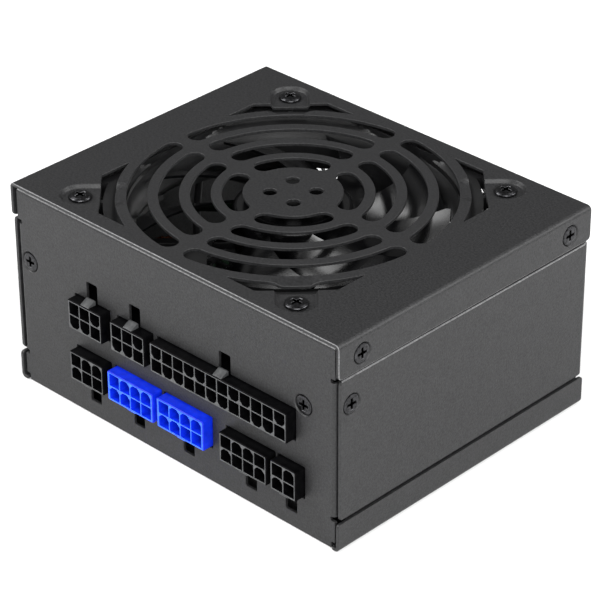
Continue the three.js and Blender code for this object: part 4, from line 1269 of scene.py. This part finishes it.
def switch_housing():
    face = node_box("switch_housing")[1][1]
    shell = Shell()
    flange_at = fitting_outline(SWITCH, 7.5, 10.5, 1.2, 5)
    mouth_at = fitting_outline(SWITCH, 5.3, 9.2, 0.5, 4)
    flange_and_pocket(shell, flange_at, mouth_at, face, 41.0)
    body = rectangle(SWITCH[0] - 6.3, SWITCH[2] - 9.6, SWITCH[0] + 6.3, SWITCH[2] + 9.6)
    add_fitting_body(shell, rounded(body, 0.4, 2), 35.0)
    return as_object(shell, "switch_surround", [NYLON_BLACK], smooth=35, replaces=["switch_housing"])


ROCK = math.radians(12)
PIVOT_Y = 47.5
ROCKER_HALF_X = 4.9
ROCKER_VALLEY = 4.0
ROCKER_END = 7.8
PEG_RADIUS = 1.15


def rocker_frame(points):
    """Turns points made about the rocker's pivot to its resting tilt, and places them."""
    c, s = math.cos(-ROCK), math.sin(-ROCK)
    return [(x + SWITCH[0], c * y - s * z + PIVOT_Y, s * y + c * z + SWITCH[2]) for x, y, z in points]


def rocker_surface(z):
    """How far out the rocker's face is at height z above or below its pivot: a shallow, smooth V."""
    slope = math.tan(ROCK)
    return ROCKER_VALLEY + slope * (math.sqrt(z * z + 0.8) - 0.35)


def switch_rocker():
    shell = Shell()
    face = [(rocker_surface(z), z) for z in np.linspace(-ROCKER_END, ROCKER_END, 21)]
    top = rocker_surface(ROCKER_END)
    profile = [(-1.5, -5.5), (3.4, -8.1), (top - 0.6, -8.05), (top - 0.15, -7.98), *face,
               (top - 0.15, 7.98), (top - 0.6, 8.05), (3.4, 8.1), (-1.5, 5.5)]
    sides = [(-ROCKER_HALF_X, 0.3), (-ROCKER_HALF_X + 0.1, 0.1), (-ROCKER_HALF_X + 0.35, 0.0)]
    sides += [(-x, shrink) for x, shrink in reversed(sides)]
    rings = []
    for x, shrink in sides:
        rings.append(rocker_frame([(x, y - shrink * (y > 3), z * (1 - 0.02 * shrink)) for y, z in profile]))
    shell.loft([ring[::-1] for ring in rings])
    for way in (-1, 1):
        rings = [[(x, py, pz) for py, pz in circle(0, 0, PEG_RADIUS, 16)]
                 for x in sorted((way * 4.7, way * 6.0))]
        shell.loft([rocker_frame(ring) for ring in rings])
    shell.slot = 1
    add_bar_mark(shell, 4.6)
    add_ring_mark(shell, -4.6)
    return as_object(shell, "rocker_paddle", [NYLON_BLACK, MARK_WHITE], smooth=40, body="rocker",
                     replaces=["switch_rocker"])


def on_rocker(x, z, lift):
    """A point on the rocker's face, lifted off it."""
    return x, rocker_surface(z) + lift, z


def add_bar_mark(shell, z):
    outline = rounded(rectangle(-0.3, z - 1.7, 0.3, z + 1.7), 0.15, 2)
    rings = [rocker_frame([on_rocker(x, pz, lift) for x, pz in outline][::-1]) for lift in (-0.2, 0.06)]
    shell.loft(rings)


def add_ring_mark(shell, z):
    rings = []
    for radius, lift in ((1.7, -0.2), (1.7, 0.06), (1.2, 0.06), (1.2, -0.2)):
        loop = [on_rocker(x, pz, lift) for x, pz in circle(0, z, radius, 36)]
        rings.append(shell.ring(rocker_frame(loop[::-1])))
    shell.strips([*rings, rings[0]])


# ---- Wound parts ----

def add_wire(shell, path, radius, sides=8, closed=False):
    """A round wire along a path of points."""
    points = [Vector(p) for p in path]
    after = [*points[1:], points[0] if closed else points[-1]]
    before = [points[-1] if closed else points[0], *points[:-1]]
    ahead = [late - early for late, early in zip(after, before)]
    normal = ahead[0].orthogonal().normalized()
    rings = []
    for point, way in zip(points, ahead):
        way = way.normalized()
        normal = (normal - way * normal.dot(way)).normalized()
        across = way.cross(normal)
        rings.append([tuple(point + radius * (math.cos(a) * normal + math.sin(a) * across))
                      for a in np.linspace(0, 2 * math.pi, sides + 1)[:-1]])
    shell.loft(rings, cap_start=not closed, cap_end=not closed)


def wound_ring(name, centre, inner, outer, height, turns, axis):
    """A ring core wound with enamelled wire, its axis along Y or Z. The winding is one long wire."""
    mid, half = (inner + outer) / 2, (outer - inner) / 2
    wire = 0.55
    gap = 0.12                  # the part of the ring left bare between the wire's two ends
    steps = turns * 20
    path = []
    for i in range(steps + 1):
        t = i / steps
        around = 2 * math.pi * (gap / 2 + (1 - gap) * t)
        turn = 2 * math.pi * turns * t
        c, s = math.cos(turn), math.sin(turn)
        power = (abs(c) ** 6 + abs(s) ** 6) ** (1 / 6)
        radius = mid + (half - wire) * c / power
        path.append((radius * math.cos(around), radius * math.sin(around), (height / 2 - wire) * s / power))
    shell = Shell()
    add_wire(shell, path, wire - 0.03)
    shell.slot = 1
    core = [(mid + (half - 2.2 * wire) * math.cos(a), (height / 2 - 2.2 * wire) * math.sin(a))
            for a in np.linspace(0, 2 * math.pi, 17)[:-1]]
    rings = [shell.ring(ring_at(radius, z, 48)) for radius, z in core]
    shell.strips([*rings, rings[0]])
    if axis == "Y":
        shell.points = [(x, z, -y) for x, y, z in shell.points]
    shell.shift(*centre)
    return as_object(shell, f"{name}_winding", [COPPER, FERRITE], smooth=40, replaces=[name])


def transformer_winding():
    """The bobbin's winding: turns of wire side by side round a solid middle."""
    low, high = node_box("transformer_winding")
    cx, cy, _ = middle("transformer_winding")
    half_x, half_y = (high - low)[:2] / 2

    def loop(inset, radius, z):
        corners = rectangle(-half_x + inset, -half_y + inset, half_x - inset, half_y - inset)
        return [(x + cx, y + cy, z) for x, y in rounded(corners, radius, 6)]

    shell = Shell()
    turns = int((high[2] - low[2]) / 1.1)
    for i in range(turns):
        z = low[2] + 0.6 + i * (high[2] - low[2] - 1.2) / (turns - 1)
        add_wire(shell, loop(0.55, 3.6, z), 0.53, closed=True)
    shell.loft([loop(1, 3.2, z) for z in (low[2] + 0.3, high[2] - 0.3)])
    return as_object(shell, "transformer_coil", [COPPER], smooth=40, replaces=["transformer_winding"])


def can_capacitor(name, grooves):
    """An electrolytic can: a sleeved body with a crimp near its foot and a scored metal top."""
    low, high = node_box(name)
    cx, cy, _ = middle(name)
    foot, top = low[2], high[2]
    radius = (high[0] - low[0]) / 2
    waist = radius - min(1.0, radius * 0.12) * 0.6
    profile = [(radius - 0.3, foot), (radius, foot + 0.4), (radius, foot + 1.4), (waist, foot + 1.9),
               (waist, foot + 2.2), (radius, foot + 2.8), (radius, top - 0.9), (radius - 0.25, top - 0.3),
               (radius - 0.8, top), (radius - 1.1, top - 0.05), (radius - 1.3, top - 0.4)]
    lid = [(radius - 1.3, top - 0.4), (radius - 1.6, top - 0.45)]
    shell = Shell()
    rings = [shell.ring(ring_at(r, z, 64, cx, cy)) for r, z in profile]
    shell.face(rings[0][::-1])
    shell.strips(rings)
    shell.slot = 1
    rings = [shell.ring(ring_at(r, z, 64, cx, cy)) for r, z in lid]
    shell.strips(rings)
    score = wound(cross_outline((radius - 1.6) * 0.8, grooves, cx, cy), clockwise=True)
    mouth = shell.ring([(x, y, top - 0.45) for x, y in score])
    floor = shell.ring([(x, y, top - 0.75) for x, y in score])
    shell.strip(mouth, floor)
    shell.face(floor)
    shell.plate(rings[-1], [mouth], from_above)
    return as_object(shell, f"{name}_can", [SLEEVE, ALUMINIUM], smooth=40, replaces=[name])


# ---- The fan's lead ----

# The lead's route, from under the fan's frame to its plug on the main board.
LEAD_ROUTE = [(-50.2, 14, 47.5), (-52.2, 14, 46.6), (-53.4, 13.8, 43), (-53.8, 13, 36), (-53.4, 12, 28),
              (-53, 11.6, 20), (-53, 11.5, 16.2)]
LEAD_RADIUS = 1.1


def smooth_route(points, steps):
    """A centripetal Catmull-Rom curve through the points."""
    p = [np.array(q, float) for q in points]
    p = [2 * p[0] - p[1], *p, 2 * p[-1] - p[-2]]
    out = []
    for a, b, c, d in zip(p, p[1:], p[2:], p[3:]):
        t0 = 0.0
        t1 = t0 + np.linalg.norm(b - a) ** 0.5
        t2 = t1 + np.linalg.norm(c - b) ** 0.5
        t3 = t2 + np.linalg.norm(d - c) ** 0.5
        for k in range(steps):
            t = t1 + (t2 - t1) * k / steps
            a1 = (t1 - t) / (t1 - t0) * a + (t - t0) / (t1 - t0) * b
            a2 = (t2 - t) / (t2 - t1) * b + (t - t1) / (t2 - t1) * c
            a3 = (t3 - t) / (t3 - t2) * c + (t - t2) / (t3 - t2) * d
            b1 = (t2 - t) / (t2 - t0) * a1 + (t - t0) / (t2 - t0) * a2
            b2 = (t3 - t) / (t3 - t1) * a2 + (t - t1) / (t3 - t1) * a3
            out.append(tuple((t2 - t) / (t2 - t1) * b1 + (t - t1) / (t2 - t1) * b2))
    out.append(tuple(p[-2]))
    return out


def fan_lead():
    path = smooth_route(LEAD_ROUTE, 6)
    shell = Shell()
    add_wire(shell, path, LEAD_RADIUS - 0.02, sides=20)
    piece = as_object(shell, "fan_lead_sleeve", [LEAD_RUBBER], smooth=50, replaces=["fan_lead"])
    length = sum(math.dist(a, b) for a, b in zip(path, path[1:]))
    Vector(path[0]) * MM
    [Vector(p) * MM for p in path]
    return piece


# ---- Materials ----

def linear(red, green, blue):
    """A screen colour from 0 to 255 as the linear values that the shader takes."""
    return tuple((c / 255 / 12.92) if c <= 10 else ((c / 255 + 0.055) / 1.055) ** 2.4
                 for c in (red, green, blue))


class Finish:
    """A node material in object coordinates, with the few node groups that the finishes share."""

    def __init__(self, name):
        self.material = bpy.data.materials.new(name)
        self.material.use_nodes = True
        self.tree = self.material.node_tree
        self.shader = self.tree.nodes["Principled BSDF"]
        self.where = self.tree.nodes.new("ShaderNodeTexCoord").outputs["Object"]
        self.height = None

    def link(self, source, target):
        self.tree.links.new(source, target)

    def noise(self, scale, detail=2.0, roughness=0.5, stretch=None):
        """Noise with features 1 / scale metres across, drawn out along an axis by stretch."""
        node = self.tree.nodes.new("ShaderNodeTexNoise")
        node.inputs["Scale"].default_value = scale
        node.inputs["Detail"].default_value = detail
        node.inputs["Roughness"].default_value = roughness
        vector = self.where
        if stretch:
            mapping = self.tree.nodes.new("ShaderNodeMapping")
            mapping.inputs["Scale"].default_value = stretch
            self.link(self.where, mapping.inputs["Vector"])
            vector = mapping.outputs["Vector"]
        self.link(vector, node.inputs["Vector"])
        return node.outputs["Fac"]

    def cells(self, scale, feature="F1"):
        node = self.tree.nodes.new("ShaderNodeTexVoronoi")
        node.feature = feature
        node.inputs["Scale"].default_value = scale
        self.link(self.where, node.inputs["Vector"])
        return node.outputs["Distance"]

    def colour(self, value, dark, light, low=0.3, high=0.7):
        """The base colour, from dark to light as the value rises."""
        ramp = self.tree.nodes.new("ShaderNodeValToRGB")
        ramp.color_ramp.elements[0].position = low
        ramp.color_ramp.elements[1].position = high
        ramp.color_ramp.elements[0].color = (*dark, 1)
        ramp.color_ramp.elements[1].color = (*light, 1)
        self.link(value, ramp.inputs["Fac"])
        self.link(ramp.outputs["Color"], self.shader.inputs["Base Color"])

    def rough(self, value, smoothest, roughest):
        spread = self.tree.nodes.new("ShaderNodeMapRange")
        spread.inputs["To Min"].default_value = smoothest
        spread.inputs["To Max"].default_value = roughest
        self.link(value, spread.inputs["Value"])
        self.link(spread.outputs["Result"], self.shader.inputs["Roughness"])

    def bump(self, value, strength, distance):
        """Adds fine relief to the surface; a second call adds to the first."""
        node = self.tree.nodes.new("ShaderNodeBump")
        node.inputs["Strength"].default_value = strength
        node.inputs["Distance"].default_value = distance
        self.link(value, node.inputs["Height"])
        if self.height:
            self.link(self.height, node.inputs["Normal"])
        self.height = node.outputs["Normal"]
        self.link(self.height, self.shader.inputs["Normal"])

    def set(self, **values):
        for name, value in values.items():
            self.shader.inputs[name.replace("_", " ")].default_value = value
        return self


def powder_coat(name="powder_coat", dark=linear(17, 17, 18), light=linear(42, 42, 43), roughest=0.54):
    """Fine matte powder coat on steel: a tight orange-peel grain and barely uneven colour."""
    f = Finish(name)
    f.colour(f.noise(1700, 2, 0.6), dark, light)
    f.rough(f.noise(260, 2), roughest - 0.1, roughest)
    f.bump(f.noise(2000, 3, 0.6), 0.4, 0.00014)
    f.bump(f.noise(5200, 1), 0.2, 0.00005)
    f.set(Specular_IOR_Level=0.43)
    return f.material


def powder_painted_highlight():
    """The same coat, lighter and glossier: a painted highlight along rims, folds and seams."""
    return powder_coat("powder_painted_highlight", linear(90, 90, 91), linear(130, 130, 131), 0.42)


def nylon_black():
    """Glass-filled black nylon, lightly grained by its mould."""
    f = Finish("nylon_black")
    f.colour(f.noise(700, 3), linear(17, 17, 18), linear(25, 25, 26))
    f.rough(f.noise(420, 2), 0.34, 0.46)
    f.bump(f.noise(3800, 2), 0.16, 0.00004)
    return f.material


def socket_nylon(name, dark, light, specular, ior=1.5):
    """Satin connector nylon with faint flow marks along the moulding."""
    f = Finish(name)
    f.colour(f.noise(500, 3), dark, light)
    f.rough(f.noise(380, 2, stretch=(1, 0.4, 1)), 0.3, 0.42)
    f.bump(f.noise(3400, 2), 0.12, 0.00004)
    f.set(Specular_IOR_Level=specular, IOR=ior)
    return f.material


def fan_plastic():
    """Black glass-filled fan frame, half matte."""
    f = Finish("fan_plastic")
    f.colour(f.noise(600, 3), linear(11, 11, 12), linear(18, 18, 19))
    f.rough(f.noise(300, 2), 0.4, 0.5)
    f.bump(f.noise(2600, 2), 0.2, 0.00006)
    return f.material


def fan_gloss():
    """Polished black fan blades, with the faint waviness of a thin moulding."""
    f = Finish("fan_gloss")
    f.colour(f.noise(300, 2), linear(6, 6, 7), linear(11, 11, 12))
    f.rough(f.noise(160, 2), 0.2, 0.28)
    f.bump(f.noise(140, 1), 0.12, 0.0003)
    return f.material


def screw_steel(name="screw_steel", dark=linear(34, 34, 35), light=linear(74, 74, 76)):
    """Black-plated screw steel, scuffed and brushed where the driver turned. Called with near-black
    colours, it also gives the painted shade inside the driver's cross.
    """
    f = Finish(name)
    f.colour(f.noise(1500, 4), dark, light)
    f.rough(f.noise(2100, 3), 0.2, 0.42)
    f.bump(f.noise(2800, 3), 0.25, 0.00004)
    f.set(Metallic=1.0)
    return f.material


def bare_steel():
    """Plated contact and pin metal, faintly drawn along its length."""
    f = Finish("bare_steel")
    f.colour(f.noise(900, 3), linear(168, 166, 160), linear(205, 203, 197))
    f.rough(f.noise(1200, 3, stretch=(1, 0.15, 1)), 0.2, 0.34)
    f.bump(f.noise(2600, 2, stretch=(1, 0.1, 1)), 0.12, 0.00003)
    f.set(Metallic=1.0)
    return f.material


def contact_metal():
    """Tin-plated contact pins, dulled by handling."""
    f = Finish("contact_metal")
    f.colour(f.noise(1600, 3), linear(120, 116, 106), linear(160, 156, 146))
    f.rough(f.noise(1500, 2), 0.3, 0.45)
    f.bump(f.noise(3600, 2), 0.1, 0.00003)
    f.set(Metallic=1.0)
    return f.material


def copper():
    """Enamelled copper wire."""
    f = Finish("copper")
    f.colour(f.noise(400, 3), linear(84, 42, 20), linear(124, 68, 34))
    f.rough(f.noise(700, 2), 0.22, 0.34)
    f.bump(f.noise(1600, 2), 0.08, 0.00005)
    f.set(Metallic=0.85, Coat_Weight=0.5, Coat_Roughness=0.15)
    return f.material


def ferrite():
    f = Finish("ferrite")
    f.colour(f.noise(1200, 4), linear(38, 38, 40), linear(56, 56, 58))
    f.rough(f.noise(900, 2), 0.5, 0.65)
    f.bump(f.noise(1800, 4), 0.3, 0.0001)
    return f.material


def aluminium():
    """Extruded aluminium with die lines along Z."""
    f = Finish("aluminium")
    f.colour(f.noise(700, 3), linear(150, 152, 154), linear(184, 186, 188))
    f.rough(f.noise(900, 3, stretch=(1, 1, 0.06)), 0.3, 0.46)
    f.bump(f.noise(2200, 2, stretch=(1, 1, 0.04)), 0.2, 0.00005)
    f.set(Metallic=1.0)
    return f.material


def board(name, dark, light):
    """A circuit board: solder mask over faintly raised copper tracks."""
    f = Finish(name)
    tracks = f.cells(160)
    f.colour(tracks, dark, light, 0.25, 0.32)
    f.rough(f.noise(600, 2), 0.3, 0.45)
    f.bump(tracks, 0.25, 0.00008)
    f.bump(f.noise(2400, 2), 0.08, 0.00003)
    return f.material


def sleeve():
    """Shrink sleeve on a capacitor."""
    f = Finish("sleeve")
    f.colour(f.noise(300, 2), linear(26, 30, 44), linear(36, 40, 56))
    f.rough(f.noise(260, 2), 0.22, 0.34)
    f.bump(f.noise(240, 2), 0.15, 0.0002)
    return f.material


def insulator():
    """A fibrous insulating sheet."""
    f = Finish("insulator")
    f.colour(f.noise(900, 4), linear(140, 138, 124), linear(168, 166, 152))
    f.rough(f.noise(800, 2), 0.55, 0.7)
    f.bump(f.noise(1500, 4, 0.7), 0.3, 0.00008)
    return f.material


def lead_rubber():
    f = Finish("lead_rubber")
    f.colour(f.noise(600, 2), linear(22, 22, 23), linear(32, 32, 33))
    f.rough(f.noise(500, 2), 0.45, 0.6)
    f.bump(f.noise(2200, 3), 0.2, 0.00005)
    return f.material


def mark_white():
    """The moulded-in marks on the rocker."""
    f = Finish("mark_white")
    f.colour(f.noise(900, 2), linear(206, 206, 204), linear(226, 226, 224))
    f.rough(f.noise(700, 2), 0.4, 0.5)
    f.bump(f.noise(2400, 2), 0.1, 0.00004)
    return f.material


POWDER_COAT = powder_coat()
NYLON_BLACK = nylon_black()
POWDER_PAINTED_HIGHLIGHT = powder_painted_highlight()
# Each socket's second nylon is a lighter copy of its body's: a painted highlight on the fronts, cell mouths
# and catches.
SOCKET_BLACK = socket_nylon("socket_black", linear(3, 3, 4), linear(9, 9, 10), 0.3, 1.16)
SOCKET_BLACK_PAINTED_HIGHLIGHT = socket_nylon("socket_black_painted_highlight", linear(56, 57, 58), linear(80, 81, 82), 0.5)
SOCKET_BLUE = socket_nylon("socket_blue", linear(4, 34, 190), linear(10, 46, 216), 0.3)
SOCKET_BLUE_PAINTED_HIGHLIGHT = socket_nylon("socket_blue_painted_highlight", linear(24, 92, 255), linear(40, 112, 255), 0.5)
FAN_PLASTIC = fan_plastic()
FAN_GLOSS = fan_gloss()
SCREW_STEEL = screw_steel()
# A near-black copy of the screw steel: painted shade inside the driver's cross.
SCREW_RECESS_SHADE = screw_steel("screw_recess_shade", linear(6, 6, 6), linear(16, 16, 16))
BARE_STEEL = bare_steel()
CONTACT_METAL = contact_metal()
COPPER = copper()
FERRITE = ferrite()
ALUMINIUM = aluminium()
BOARD_GREEN = board("board_green", linear(10, 30, 17), linear(18, 46, 26))
BOARD_BLACK = board("board_black", linear(14, 15, 15), linear(26, 28, 28))
SLEEVE = sleeve()
INSULATOR = insulator()
LEAD_RUBBER = lead_rubber()
MARK_WHITE = mark_white()

# The CAD nodes whose own mesh is shown, and the finish of each.
KEPT_NODES = {
    "fan_magnet": FERRITE,
    "fan_shaft": BARE_STEEL,
    "fan_bearing": BARE_STEEL,
    "fan_stator": COPPER,
    "fan_plug": NYLON_BLACK,
    "modular_board": BOARD_BLACK,
    "board_spacer_1": BARE_STEEL,
    "board_spacer_2": BARE_STEEL,
    "main_board": BOARD_GREEN,
    "insulating_sheet": INSULATOR,
    "transformer_core": FERRITE,
    "heatsink_primary": ALUMINIUM,
    "heatsink_secondary": ALUMINIUM,
    "earth_pin": BARE_STEEL,
    "line_pin": BARE_STEEL,
    "neutral_pin": BARE_STEEL,
    **{f"board_standoff_{i}": BARE_STEEL for i in range(1, 5)},
}


def finish_kept_nodes():
    """Gives the carried-over nodes their finish, and eases their sharp edges."""
    for name, material in KEPT_NODES.items():
        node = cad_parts[name]
        for slot in node.material_slots:
            slot.material = material
        ease_edges(node, 0.12, 50)


# ---- Camera, lights and floor ----

CAMERA_AZIMUTH = math.radians(44.177)
CAMERA_ELEVATION = math.radians(31.016)
CAMERA_ROLL = math.radians(-0.300)
CAMERA_DISTANCE = 796.3
CAMERA_TARGET = Vector((-2.63, 3.13, 27.09))
CAMERA_LENS = 169.71


def direction(azimuth, elevation):
    """The way from the object towards something seen at an azimuth, which is 0 in front of the sockets."""
    flat = math.cos(elevation)
    return Vector((math.sin(azimuth) * flat, -math.cos(azimuth) * flat, math.sin(elevation)))


def camera():
    back = direction(CAMERA_AZIMUTH, CAMERA_ELEVATION)
    right = (-back).cross(Vector((0, 0, 1))).normalized()
    up = right.cross(-back)
    c, s = math.cos(CAMERA_ROLL), math.sin(CAMERA_ROLL)
    x_axis = right * c + up * s
    y_axis = up * c - right * s
    data = bpy.data.cameras.new("camera")
    data.lens = CAMERA_LENS
    data.sensor_width = 36
    data.clip_start = 0.05
    data.clip_end = 20
    view = linked("camera", data)
    turn = Matrix((x_axis, y_axis, back)).transposed()
    view.matrix_world = Matrix.LocRotScale((CAMERA_TARGET + back * CAMERA_DISTANCE) * MM, turn, None)
    bpy.context.scene.camera = view


def soft_light(name, azimuth, elevation, distance, size, power):
    """A square soft box that faces the object from the given side."""
    data = bpy.data.lights.new(name, "AREA")
    data.shape = "SQUARE"
    data.size = size
    data.energy = power
    way = direction(math.radians(azimuth), math.radians(elevation))
    lamp = linked(name, data)
    lamp.location = way * distance + Vector((0, 0, HEIGHT / 2)) * MM
    lamp.rotation_euler = way.to_track_quat("Z", "Y").to_euler()


def studio():
    world = bpy.data.worlds.new("studio")
    world.use_nodes = True
    background = world.node_tree.nodes["Background"]
    background.inputs["Color"].default_value = (1, 1, 1, 1)
    background.inputs["Strength"].default_value = 0.2
    bpy.context.scene.world = world
    soft_light("left_soft_box", -47, 38, 0.9, 0.45, 6.5)
    soft_light("right_soft_box", 128, 32, 0.9, 0.4, 5.0)
    soft_light("back_soft_box", 169, 60, 0.9, 0.2, 1.0)
    soft_light("far_left_soft_box", -94, 55, 0.9, 0.22, 0.9)
    soft_light("front_fill", 50, 30, 1.6, 1.2, 32.0)
    bpy.context.scene.view_settings.view_transform = "Standard"


def floor():
    data = bpy.data.materials.new("paper")
    data.use_nodes = True
    shader = data.node_tree.nodes["Principled BSDF"]
    shader.inputs["Base Color"].default_value = (0.92, 0.92, 0.92, 1)
    shader.inputs["Roughness"].default_value = 0.9
    side = 6.0
    corners = [(x, y, -0.0002) for x, y in rectangle(-side, -side, side, side)]
    mesh = bpy.data.meshes.new("paper_floor")
    mesh.from_pydata(corners, [], [(0, 1, 2, 3)])
    mesh.materials.append(data)
    linked("paper_floor", mesh)


# ---- Assembly ----

camera()
studio()
floor()
fan_lead()
top_cover()
bottom_tray()
rear_frame()
modular_panel()
for socket_name in SOCKETS:
    cable_socket(socket_name)
screws()
fan_frame()
fan_rotor()
ac_inlet()
switch_housing()
switch_rocker()
wound_ring("toroid_choke", (-44.5, -8, 20.9), 6, 13, 10, 26, "Y")
wound_ring("emi_choke", (24, 18, 12.4), 4, 9, 9, 18, "Z")
transformer_winding()
can_capacitor("bulk_capacitor", 0.5)
can_capacitor("output_capacitor_1", 0.25)
can_capacitor("output_capacitor_2", 0.25)
finish_kept_nodes()
